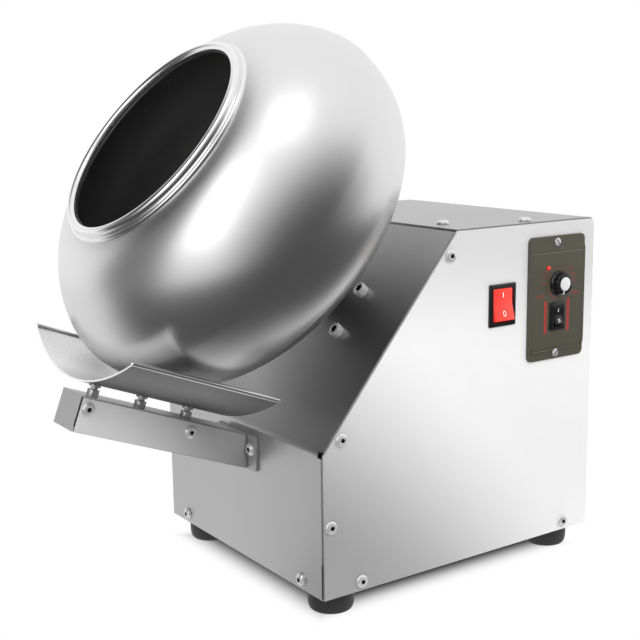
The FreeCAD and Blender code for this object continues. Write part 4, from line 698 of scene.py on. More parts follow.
@dataclass(frozen=True)
class LitPlastic:
    """Clear red plastic that glows in its own tone: the light of the status lamp, and painted light on the
    switch paddle.
    """

    title: str
    tone: Triple
    glow: float
    relief: float = 0.000008

    def material(self) -> bpy.types.Material:
        """Cloud and streaks, blended into the tone, which also glows under a glossy coat; on the paddle the
        glow is painted light.

        Returns:
            The finish as a material.
        """
        net = Net(self.title)
        at = net.position()
        cloud = net.noise(at, 120.0, 2.0)
        streaks = net.noise(net.scaled(at, (60.0, 900.0, 60.0)), 1.0, 2.0)
        pale = (self.tone[0], self.tone[1] * 2.2 + 0.02, self.tone[2] * 2.2 + 0.02)
        tint = net.blend(0.6 * cloud + 0.4 * streaks, self.tone, pale)
        rough = 0.12 + 0.08 * cloud
        coat = {"Coat_Weight": 1.0, "Coat_Roughness": 0.08}
        glow = {"Emission_Color": tint, "Emission_Strength": self.glow}
        return net.surface(streaks, self.relief, Base_Color=tint, Roughness=rough, **coat, **glow)


@dataclass(frozen=True)
class SatinPaint:
    """Printed aluminium plate with an orange-peel lacquer."""

    title: str
    tone: Triple
    sheen: float
    relief: float = 0.000008

    def material(self) -> bpy.types.Material:
        """Orange-peel noise in the relief and a cloud in the tone.

        Returns:
            The finish as a material.
        """
        net = Net(self.title)
        at = net.position()
        peel = net.noise(at, 700.0, 3.0, 0.6)
        cloud = net.noise(at, 30.0, 3.0)
        pale = tuple(value * 1.15 for value in self.tone)
        tint = net.blend(cloud, self.tone, pale)
        rough = self.sheen - 0.04 + 0.08 * cloud + 0.05 * peel
        return net.surface(peel, self.relief, Base_Color=tint, Roughness=rough, Metallic=0.0)


class Finishes:
    """Every finish of the machine, made once."""

    def __init__(self) -> None:
        """Make the materials and the table of finishes of the record's slots."""
        # Painted shade on the side panels: darker towards the lower front, and darker again near the top.
        low_front_painted_shade = PaintedShading(0.36, (0.0, -1.0, -1.1), -0.212, 0.008)
        top = PaintedShading(0.66, (0.0, 0.15, 1.0), 0.175, 0.270)
        side_painted_shading = (low_front_painted_shade, top)
        self.side_sheet = BrushedSheet("side_sheet", 0.90, 0.42, Grain.DEEP, 0.25, side_painted_shading).material()
        # Painted shade: a darker copy of the arm's sheet for the arm's end faces.
        self.arm_end_painted_shade = BrushedSheet("arm_end_painted_shade_sheet", 0.40, 0.34, Grain.DEEP, 0.45).material()
        # Painted light: the housing's front face gets a lighter tone than the slanted face of the same
        # sheet.
        front_face_painted_light = (PaintedShading(0.54, (0.0, -1.0, 0.0), 0.0645, 0.0665),)
        self.slope_sheet = BrushedSheet("slope_sheet", 0.40, 0.38, Grain.ACROSS, painted_shading=front_face_painted_light).material()
        self.cover_sheet = BrushedSheet("cover_sheet", 0.42, 0.34, Grain.ACROSS).material()
        # Painted shade: the arm's sheet darkens towards the housing, standing in for the dark reflection
        # there.
        arm_painted_shade_to_housing = PaintedShading(0.34, (0.0, 1.0, 0.0), -0.19, -0.06)
        self.arm_sheet = BrushedSheet("arm_sheet", 0.88, 0.34, Grain.DEEP, 0.45, (arm_painted_shade_to_housing,)).material()
        self.trough_sheet = BrushedSheet("trough_sheet", 0.92, 0.26, Grain.DEEP).material()
        # Painted shade: a dark copy of the trough's steel for its underside.
        self.trough_underside_painted_shade = BrushedSheet("trough_underside_painted_shade", 0.20, 0.34, Grain.DEEP).material()
        self.tray_sheet = BrushedSheet("tray_sheet", 0.60, 0.42, Grain.ACROSS).material()
        self.pan = SpunSteel("pan_outside", 0.78, 0.29, 0.00003).material()
        # Painted shade: the pan's inside is a darker copy of its spun steel.
        self.pan_inside_painted_shade = SpunSteel("pan_inside_painted_shade", 0.36, 0.38, 0.00004).material()
        self.rim = SpunSteel("rolled_rim", 0.86, 0.14, 0.00001).material()
        self.screw = CleanMetal("bright_screw", (0.82, 0.82, 0.82), 0.17, metal=0.6).material()
        # Painted shade: dark steel for the insides of sockets and slots.
        self.socket = CleanMetal("screw_socket_painted_shade", (0.16, 0.16, 0.17), 0.45).material()
        self.chrome = CleanMetal("knob_chrome", (0.88, 0.88, 0.88), 0.16, metal=0.35).material()
        self.machined = CleanMetal("machined_steel", (0.55, 0.55, 0.56), 0.32, 0.00001).material()
        self.cast = CleanMetal("cast_aluminium", (0.62, 0.63, 0.64), 0.48, 0.00006, 420.0).material()
        self.core = CleanMetal("laminated_core", (0.22, 0.22, 0.24), 0.55, 0.00003).material()
        self.copper = CleanMetal("varnished_copper", (0.62, 0.30, 0.14), 0.35, 0.00005, 600.0).material()
        self.rubber = Moulding("foot_rubber", (0.016, 0.016, 0.017), 0.42, 0.00001, 900.0).material()
        self.gloss_black = Moulding("gloss_black", (0.006, 0.006, 0.007), 0.12, coat=0.2).material()
        self.matt_black = Moulding("matt_black", (0.022, 0.022, 0.024), 0.40).material()
        # Painted shade: near-black strips for the shade in gaps, slots and the switch wells.
        self.gap = Moulding("painted_gap_shade", (0.006, 0.006, 0.006), 0.8).material()
        self.can = Moulding("capacitor_can", (0.62, 0.62, 0.58), 0.4).material()
        self.plate = SatinPaint("controller_plate", (0.060, 0.056, 0.040), 0.38).material()
        self.print_red = SatinPaint("dull_red_print", (0.30, 0.024, 0.018), 0.45).material()
        # Painted highlight and painted shade for the plate's folds.
        self.fold_painted_highlight = SatinPaint("plate_fold_painted_highlight", (0.17, 0.16, 0.13), 0.3).material()
        self.fold_painted_shade = SatinPaint("plate_fold_painted_shade", (0.022, 0.020, 0.016), 0.4).material()
        self.print_white = SatinPaint("white_print", (0.82, 0.82, 0.80), 0.40).material()
        # Painted light: the paddle's glow stands in for the light washing over it.
        self.red_paddle = LitPlastic("red_paddle", (0.86, 0.018, 0.010), 0.30).material()
        self.red_lamp = LitPlastic("red_lamp", (0.80, 0.010, 0.008), 0.35).material()
        self.by_slot = {
            "steel_sheet": self.tray_sheet,
            "pan_steel": self.pan,
            "rim_steel": self.rim,
            "screw_steel": self.screw,
            "machined_steel": self.machined,
            "cast_aluminium": self.cast,
            "motor_core": self.core,
            "copper_wire": self.copper,
            "foot_rubber": self.rubber,
            "black_plastic": self.gloss_black,
            "fan_plastic": self.matt_black,
            "faceplate": self.plate,
            "red_plastic": self.red_paddle,
            "red_lamp": self.red_lamp,
            "capacitor_shell": self.can,
        }


@dataclass
class SubAssembly:
    """Something that puts its pieces on a body of the machine."""

    nodes: dict[str, bpy.types.Object]
    finishes: Finishes

    @property
    def head_looks(self) -> list[bpy.types.Material]:
        """Finishes of a screw head and of the painted shade in its socket."""
        return [self.finishes.screw, self.finishes.socket]

    def fit(self, piece: bpy.types.Object, body: str, slot: str, *stands_for: str) -> None:
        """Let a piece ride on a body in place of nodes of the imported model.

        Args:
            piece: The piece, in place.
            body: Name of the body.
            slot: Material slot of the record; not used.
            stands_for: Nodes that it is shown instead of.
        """
        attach(piece, body)
        if stands_for:
            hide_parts(*stands_for)
        LOG.info("%s rides on %s, %d faces", piece.name, body, len(piece.data.polygons))

    def softened_copy(
        self, node: str, name: str, edge: float, finish: bpy.types.Material
    ) -> bpy.types.Object:
        """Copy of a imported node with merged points, whole flats and small rounded edges.

        Args:
            node: Name of the node.
            name: Name of the copy.
            edge: Width of the rounded edges in millimetres.
            finish: Its material.

        Returns:
            The copy.
        """
        mesh = self.nodes[node].data.copy()
        mesh.name = name
        if "custom_normal" in mesh.attributes:
            mesh.attributes.remove(mesh.attributes["custom_normal"])
        work = bmesh.new()
        work.from_mesh(mesh)
        bmesh.ops.remove_doubles(work, verts=work.verts, dist=WELD)
        bmesh.ops.dissolve_limit(work, angle_limit=math.radians(0.5), verts=work.verts, edges=work.edges)
        work.to_mesh(mesh)
        work.free()
        mesh.shade_smooth()
        mesh.materials.clear()
        mesh.materials.append(finish)
        piece = bpy.data.objects.new(name, mesh)
        bpy.context.scene.collection.objects.link(piece)
        bevel = piece.modifiers.new("edge", "BEVEL")
        bevel.width = edge * MM
        bevel.segments = 2
        bevel.limit_method = "ANGLE"
        bevel.angle_limit = math.radians(40)
        piece.modifiers.new("normals", "WEIGHTED_NORMAL")
        return piece


@dataclass(frozen=True)
class ButtonHead:
    """Domed screw head with a hexagon socket."""

    radius: float = 4.75
    height: float = 2.8
    socket: float = 3.0
    edge: float = 0.15
    dome_end: float = 0.52
    side_share: float = 0.26

    def add(self, skin: Skin, place: Place) -> None:
        """Add a head.

        The dome's radius follows the cosine and its height the sine of one angle, then the
        outline changes from circle to hexagon as it turns down into the socket.

        Args:
            skin: Skin that takes the head, its second finish for the socket.
            place: Place whose Z axis leaves the seat.
        """
        radius, height, socket = self.radius, self.height, self.socket
        angle = np.linspace(0, math.acos(self.dome_end), 8)
        rings = [circle(0), circle(radius - self.edge), circle(radius)]
        levels = [0.0, 0.0, 0.12]
        side = height * self.side_share
        rings += [circle(radius * math.cos(a) ** 0.9) for a in angle]
        levels += [side + (height - side) * math.sin(a) / math.sin(angle[-1]) for a in angle]
        lip = socket / 2 / math.cos(math.pi / 6) + 0.25
        rings += [circle(lip + self.edge), circle(lip), hexagon(socket)]
        levels += [height, height - 0.05, height - 0.3]
        skin.grid(stack(rings, levels), place)
        # The socket's inside takes the painted shade.
        floor = [hexagon(socket), hexagon(socket * 0.96), circle(0)]
        skin.grid(stack(floor, [height - 0.3, height * 0.32, height * 0.25]), place, finish=1)


@dataclass(frozen=True)
class CapHead:
    """Tall round screw head with a knurled side and a hexagon socket."""

    radius: float = 5.0
    height: float = 6.0
    socket: float = 5.0
    points: int = 96
    rib_depth: float = 0.018

    def add(self, skin: Skin, place: Place) -> None:
        """Add a head.

        Each pair gives a ring's distance inside the radius and its height. The side's
        radius is lowered a little at every other of many fine ribs.

        Args:
            skin: Skin that takes the head, its second finish for the socket.
            place: Place whose Z axis leaves the seat.
        """
        radius, height, socket, count = self.radius, self.height, self.socket, self.points
        knurled = circle(radius, count) * (1 - self.rib_depth * (np.arange(count) % 4 < 2)[:, None])
        below = [(radius, 0.0), (0.3, 0.0), (0.1, 0.35)]
        above = [(0.1, height - 0.8), (0.25, height - 0.25), (0.6, height)]
        rings = [circle(radius - inset, count) for inset, _ in below] + [knurled, knurled]
        rings += [circle(radius - inset, count) for inset, _ in above]
        rings += [circle(socket / 2 + 0.75, count), circle(socket / 2 + 0.5, count), hexagon(socket, count)]
        levels = [level for _, level in below] + [0.6, height - 1.1] + [level for _, level in above]
        levels += [height, height - 0.1, height - 0.55]
        skin.grid(stack(rings, levels), place)
        # The socket's inside takes the painted shade.
        floor = [hexagon(socket, count), hexagon(socket * 0.98, count), circle(0, count)]
        skin.grid(stack(floor, [height - 0.55, height * 0.45, height * 0.40]), place, finish=1)


def hex_block(skin: Skin, place: Place, flats: float, start: float, end: float) -> None:
    """Hexagon nut whose corners are chamfered to a circle at both ends.

    Args:
        skin: Skin that takes the nut.
        place: Place whose Z axis is the nut's.
        flats: Width over flats.
        start: Lower height.
        end: Upper height.
    """
    round_end = circle(flats / 2 * 0.97)
    full = hexagon(flats)
    near = np.minimum(1.0, flats / 2 * 1.02 / np.linalg.norm(full, axis=1))[:, None] * full
    rings = [circle(0), round_end, near, full, full, near, round_end, circle(0)]
    levels = [start, start, start + 0.15, start + 0.55, end - 0.55, end - 0.15, end, end]
    skin.grid(stack(rings, levels), place)


@dataclass
class Housing(SubAssembly):
    """Bent sheet housing with its screws and feet."""

    half_width: float = 107.5
    height: float = 241.5
    foot_places: tuple[tuple[str, float, float], ...] = (
        ("foot_front_left", -84.5, 22.0),
        ("foot_front_right", 84.5, 22.0),
        ("foot_rear_left", -84.5, 231.0),
        ("foot_rear_right", 84.5, 231.0),
    )
    side_screws: tuple[Pair, ...] = (
        (6.2, 51.0),
        (15.27, 109.81),
        (109.18, 224.04),
        (31.4, 7.0),
        (225.5, 7.0),
    )
    top_screws: tuple[Pair, ...] = ((71.0, 134.0), (95.0, 192.0))
    front_screw: Pair = (80.8, 7.0)
    slot_place: Triple = (105.9, 0.0, 13.0)
    slot_size: Triple = (0.9, 24.0, 0.04)
    soft_edge: float = 0.25
    foot_height: float = FOOT_HEIGHT
    foot_radius: float = 16.5
    foot_bulge: float = 15.6
    sole_radius: float = 13.5
    hollow_radius: float = 6.0
    hollow_depth: float = 8.0

    def build(self) -> None:
        """Make the panels, screws and feet."""
        looks = self.finishes
        panels = {
            "front_slope_panel": looks.slope_sheet,
            "right_side_panel": looks.side_sheet,
            "left_side_panel": looks.side_sheet,
            "top_rear_cover": looks.cover_sheet,
            "base_tray": looks.tray_sheet,
        }
        for node, finish in panels.items():
            piece = self.softened_copy(node, node + "_sheet", self.soft_edge, finish)
            self.fit(piece, "housing", "steel_sheet", node)
        self.screws()
        # Painted shade: a dark strip where the slot at the front corner falls in shade.
        slot = Skin(HOUSING.at(self.slot_place, (0, -1, 0)))
        slot.bar((0.0, 0.0), self.slot_size)
        self.fit(slot.build("front_corner_painted_slot_shade", [looks.gap]), "housing", "steel_sheet")
        for node, x, y in self.foot_places:
            self.foot(node, x, y)

    def screws(self) -> None:
        """Button heads on the sides, front and top."""
        skin, head = Skin(HOUSING), ButtonHead()
        for side in (-1, 1):
            for y, z in self.side_screws:
                head.add(skin, HOUSING.at((side * self.half_width, y, z), (side, 0, 0), (0, 0.8, 0.6)))
            for x, y in self.top_screws:
                head.add(skin, HOUSING.at((side * x, y, self.height)))
            x, z = self.front_screw
            head.add(skin, HOUSING.at((side * x, 0, z), (0, -1, 0)))
        piece = skin.build("housing_button_screws", self.head_looks)
        self.fit(piece, "housing", "screw_steel", "housing_screws")

    def foot(self, node: str, x: float, y: float) -> None:
        """Rubber foot: a turned profile, straight above and rounded in to a hollow sole.

        Args:
            node: Node that it is shown instead of.
            x: Place across the housing.
            y: Place along the housing.
        """
        tall, wide, hollow, roof = self.foot_height, self.foot_radius, self.hollow_radius, self.hollow_depth
        wall = [(0, 0), (wide, 0), (wide, -tall * 0.45)]
        poles = [wall[-1], (wide, -tall * 0.8), (self.foot_bulge, -tall), (self.sole_radius, -tall)]
        curve = bezier(poles, np.linspace(0, 1, 12))
        sole = [poles[-1], (hollow, -tall), (hollow - 0.2, roof - tall), (0, roof - tall)]
        profile = np.vstack([softened(wall, 0.5), curve[1:], softened(sole, 0.4)[1:]])
        skin = Skin(HOUSING.at((x, y, 0)))
        skin.grid(lathe(profile, 64))
        self.fit(skin.build(node + "_rubber", [self.finishes.rubber]), "housing", "foot_rubber", node)


@dataclass
class Pan(SubAssembly):
    """Spun pan with its rolled rim, hub screws and the cap screws of its drive."""

    radius: float = 140.0
    wall: float = 1.5
    equator: float = 110.4
    cheek_rise: float = 25.07
    shoulder: float = 29.44
    shoulder_slope: float = 0.12
    lip: Pair = (80.0, 174.48)
    back_reach: float = 77.2
    flat: float = 30.0
    seam_height: float = 66.0
    seam_rise: float = 0.16
    inner_bead: Triple = (76.8, 177.9, 3.3)
    outer_bead: Triple = (80.9, 174.4, 2.0)
    half_web: float = 0.9
    skin_gap: float = 0.02
    steps: int = 240
    hub_circle: float = 25.0
    hub_screw_count: int = 4
    cap_across: float = 50.5
    cap_heights: Pair = (-33.75, 0.75)

    def back_wall(self, inset: float, share: np.ndarray) -> np.ndarray:
        """Cubic curve from the flat back to the widest line.

        Args:
            inset: How far the curve lies inside the pan's outer face.
            share: How far along the curve each point lies, from 0 to 1.

        Returns:
            Radius and height pairs.
        """
        radius, back = self.radius - inset, self.back_reach - inset
        low = self.equator - back
        poles = [
            (self.flat, low),
            (self.flat + 0.7 * (radius - self.flat), low),
            (radius, self.equator - 0.66 * back),
            (radius, self.equator),
        ]
        return bezier(poles, share)

    def front_wall(self, inset: float, share: np.ndarray) -> np.ndarray:
        """Cubic curve from the widest line over the full shoulder to the lip.

        Args:
            inset: How far the curve lies inside the pan's outer face.
            share: How far along the curve each point lies, from 0 to 1.

        Returns:
            Radius and height pairs.
        """
        radius, (lip, height) = self.radius - inset, self.lip
        height -= inset
        poles = [
            (radius, self.equator),
            (radius, self.equator + self.cheek_rise - 0.5 * inset),
            (lip + self.shoulder, height - self.shoulder_slope * self.shoulder),
            (lip, height),
        ]
        return bezier(poles, share)

    def wall_profile(self, inset: float) -> np.ndarray:
        """Profile from the back's middle to the rim, with the low bead of the welded seam.

        The bead adds a bell-shaped rise to the radius at the seam's height and a shallow
        dip on each side of it.

        Args:
            inset: How far the profile lies inside the pan's outer face.

        Returns:
            Radius and height pairs.
        """
        fine = np.linspace(0, 1, 241)
        back = self.back_wall(inset, fine)
        offset = back[:, 1] - self.seam_height
        keep = (np.abs(offset) < 3) | (np.arange(len(fine)) % 6 == 0)
        bead = np.exp(-((offset / 0.55) ** 2)) - 0.35 * np.exp(-(((np.abs(offset) - 1.5) / 0.6) ** 2))
        back[:, 0] += self.seam_rise * bead * (1 if inset < self.wall else -1)
        front = self.front_wall(inset, np.linspace(0, 1, 81))
        return np.vstack([[(0.0, back[0, 1])], back[keep], front[1:]])

    def build(self) -> None:
        """Make the shell, the rim and the screws."""
        bead_radius, bead_height, bead = self.inner_bead
        bore = bead_radius - bead
        start = bore - 2 * self.skin_gap
        lip, height = self.lip[0], self.lip[1] - self.wall
        down = [(start, bead_height), (start, bead_height - 0.7 * bead)]
        collar = bezier([*down, (bore + 1.5, height + 0.3), (lip, height)], np.linspace(0, 1, 12))
        outer = self.wall_profile(self.skin_gap)
        inner = np.vstack([collar[:-1], self.wall_profile(self.wall)[::-1]])
        skin = Skin(PAN_AXIS)
        skin.grid(lathe(np.vstack([outer, inner[:1]]), self.steps))
        # The inner faces take the painted shade of the pan's inside.
        skin.grid(lathe(inner, self.steps), finish=1)
        piece = skin.build("spun_pan", [self.finishes.pan, self.finishes.pan_inside_painted_shade])
        self.fit(piece, "pan", "pan_steel", "pan_back", "pan_middle", "pan_front")
        self.rim()
        self.screws()

    def rim(self) -> None:
        """Rolled rim: two beads round the mouth, joined by a web that leaves a groove."""
        (r1, z1, bead1), (r2, z2, bead2) = self.inner_bead, self.outer_bead
        heading = math.degrees(math.atan2(z2 - z1, r2 - r1))
        off1 = math.degrees(math.asin(self.half_web / bead1))
        off2 = math.degrees(math.asin(self.half_web / bead2))
        first = arc((r1, z1), bead1, heading + off1, heading - off1 + 360, 40)
        second = arc((r2, z2), bead2, heading + 180 + off2, heading + 540 - off2, 28)
        profile = np.vstack([first, second, first[:1]])
        skin = Skin(PAN_AXIS)
        skin.grid(lathe(profile, self.steps))
        self.fit(skin.build("rolled_rim_beads", [self.finishes.rim]), "pan", "rim_steel", "pan_rim")

    def screws(self) -> None:
        """Hub screws inside the pan, and the cap screws on the slanted face."""
        floor = self.equator - self.back_reach + self.wall
        skin = Skin(PAN_AXIS)
        for angle in turn(self.hub_screw_count) + math.radians(45):
            spot = (self.hub_circle * math.cos(angle), self.hub_circle * math.sin(angle), floor)
            ButtonHead().add(skin, PAN_AXIS.at(spot))
        self.fit(skin.build("hub_button_screws", self.head_looks), "pan", "screw_steel", "hub_screws")
        skin = Skin(PAN_AXIS)
        for side in (-1, 1):
            for y in self.cap_heights:
                CapHead().add(skin, PAN_AXIS.at((side * self.cap_across, y, 0)))
        piece = skin.build("drive_cap_screws", self.head_looks)
        self.fit(piece, "housing", "screw_steel", "mount_cap_screws")


@dataclass
class Bracket(SubAssembly):
    """Arm with the curved trough on three studs."""

    radius: float = 140.39
    sheet: float = 1.2
    half_width: float = 77.0
    axis_height: float = 149.79
    front: float = -138.393
    rear: float = -26.393
    hem: float = 1.6
    stud_places: Triple = (-119.89, -83.39, -45.89)
    nut_flats: float = 8.0
    plate_screws: Pair = (-127.893, -47.893)
    plate_face: float = 16.0
    plate_screw_drop: float = 7.5
    tab_screw: Triple = (21.25, -2.0, 85.7)
    top_gap: Triple = (14.55, -67.9, -0.68)
    front_gap: Triple = (14.55, -133.22, -12.1)
    gap_lengths: Pair = (130.4, 22.8)
    gap_width: float = 2.6
    soft_edge: float = 0.25

    def build(self) -> None:
        """Make the arm, its screws, the trough and the studs."""
        for node in ("arm_channel", "arm_side_plate"):
            piece = self.softened_copy(node, node + "_sheet", self.soft_edge, self.finishes.arm_sheet)
            self.paint_end_face_shade(piece.data)
            self.fit(piece, "housing", "steel_sheet", node)
        self.paint_gap_shades()
        self.screws()
        self.trough()
        self.studs()

    def paint_end_face_shade(self, mesh: bpy.types.Mesh) -> None:
        """Give the faces that look out along the arm a painted shade: a darker copy of the arm's sheet.

        Args:
            mesh: Mesh of the channel or of the side plate.
        """
        mesh.materials.append(self.finishes.arm_end_painted_shade)
        normals = np.zeros(len(mesh.polygons) * 3)
        mesh.polygons.foreach_get("normal", normals)
        ahead = normals.reshape(-1, 3) @ np.array(ARM.axes[1]) < -0.9
        mesh.polygons.foreach_set("material_index", ahead.astype(np.int32))

    def paint_gap_shades(self) -> None:
        """Dark strips of painted shade over the gaps between the channel and its side plate, on top and in
        front.
        """
        seats = (ARM.at(self.top_gap, (0, 0, 1), (0, 1, 0)), ARM.at(self.front_gap, (0, -1, 0), (0, 0, 1)))
        skin = Skin(ARM)
        for length, seat in zip(self.gap_lengths, seats):
            skin.bar((0.0, 0.0), (length, self.gap_width, 0.03), seat)
        self.fit(skin.build("arm_plate_painted_gap_shade", [self.finishes.gap]), "housing", "steel_sheet")

    def screws(self) -> None:
        """Button heads of the side plate and of the two tabs."""
        skin, head = Skin(ARM), ButtonHead()
        for y in self.plate_screws:
            head.add(skin, ARM.at((self.plate_face, y, -self.plate_screw_drop), (1, 0, 0), (0, 1, 0.3)))
        for side in (-1, 1):
            x, y, z = self.tab_screw
            head.add(skin, HOUSING.at((side * x, y, z), (0, -1, 0)))
        self.fit(skin.build("arm_button_screws", self.head_looks), "housing", "screw_steel", "arm_screws")

    def trough(self) -> None:
        """Curved sheet with rolled long edges.

        Across the trough each face is an arc about the line of curvature: x is the radius
        times the sine and z the axis height less the radius times the cosine. Each hem is
        a rod whose radius closes as a half circle at both ends.
        """
        limit = math.asin(self.half_width / self.radius)
        angle = np.linspace(-limit, limit, 61)
        along = np.linspace(self.front, self.rear, 9)
        faces = []
        for radius in (self.radius, self.radius + self.sheet):
            x = radius * np.sin(angle)
            z = self.axis_height - radius * np.cos(angle)
            faces.append(np.stack(np.broadcast_arrays(x[None], along[:, None], z[None]), axis=2))
        skin = Skin(ARM)
        # The lower face takes the painted shade of the underside.
        skin.plate(faces[0], faces[1], under=1)
        lip = self.axis_height - self.radius * math.cos(limit)
        bow = np.linspace(0, np.pi / 2, 7)
        inset = self.hem * (1 - np.sin(bow))
        reach = np.concatenate([self.front + inset, self.rear - inset[::-1]])
        bulge = 1 - np.cos(bow) ** 2
        size = self.hem * np.concatenate([bulge, bulge[::-1]]) ** 0.5
        theta = turn(20)
        for side in (-1, 1):
            ring_x = side * self.half_width + size[:, None] * np.cos(theta)
            ring_z = lip + size[:, None] * np.sin(theta)
            skin.grid(np.stack([ring_x, reach[:, None] + 0 * ring_x, ring_z], axis=2))
        piece = skin.build("hemmed_trough", [self.finishes.trough_sheet, self.finishes.trough_underside_painted_shade])
        self.fit(piece, "housing", "steel_sheet", "trough")

    def studs(self) -> None:
        """Studs: a hexagon spacer, a rod, a nut below and a low round head in the trough."""
        rod = softened([(0, 4.6), (2.5, 4.6), (2.5, 9.3), (0, 9.3)], 0.2)
        head = softened([(0, 9.4), (4.5, 9.4), (4.3, 10.4), (3.2, 11.0), (0, 11.0)], 0.4)
        skin = Skin(ARM)
        for y in self.stud_places:
            base = ARM.at((0, y, 0))
            skin.grid(lathe(rod, 32), base)
            skin.grid(lathe(head, 40), base)
            for start, end in ((0.0, 4.6), (6.4, 8.4), (-6.0, -2.0)):
                hex_block(skin, base, self.nut_flats, start, end)
        piece = skin.build("trough_stud_set", [self.finishes.screw])
        self.fit(piece, "housing", "screw_steel", "trough_studs")


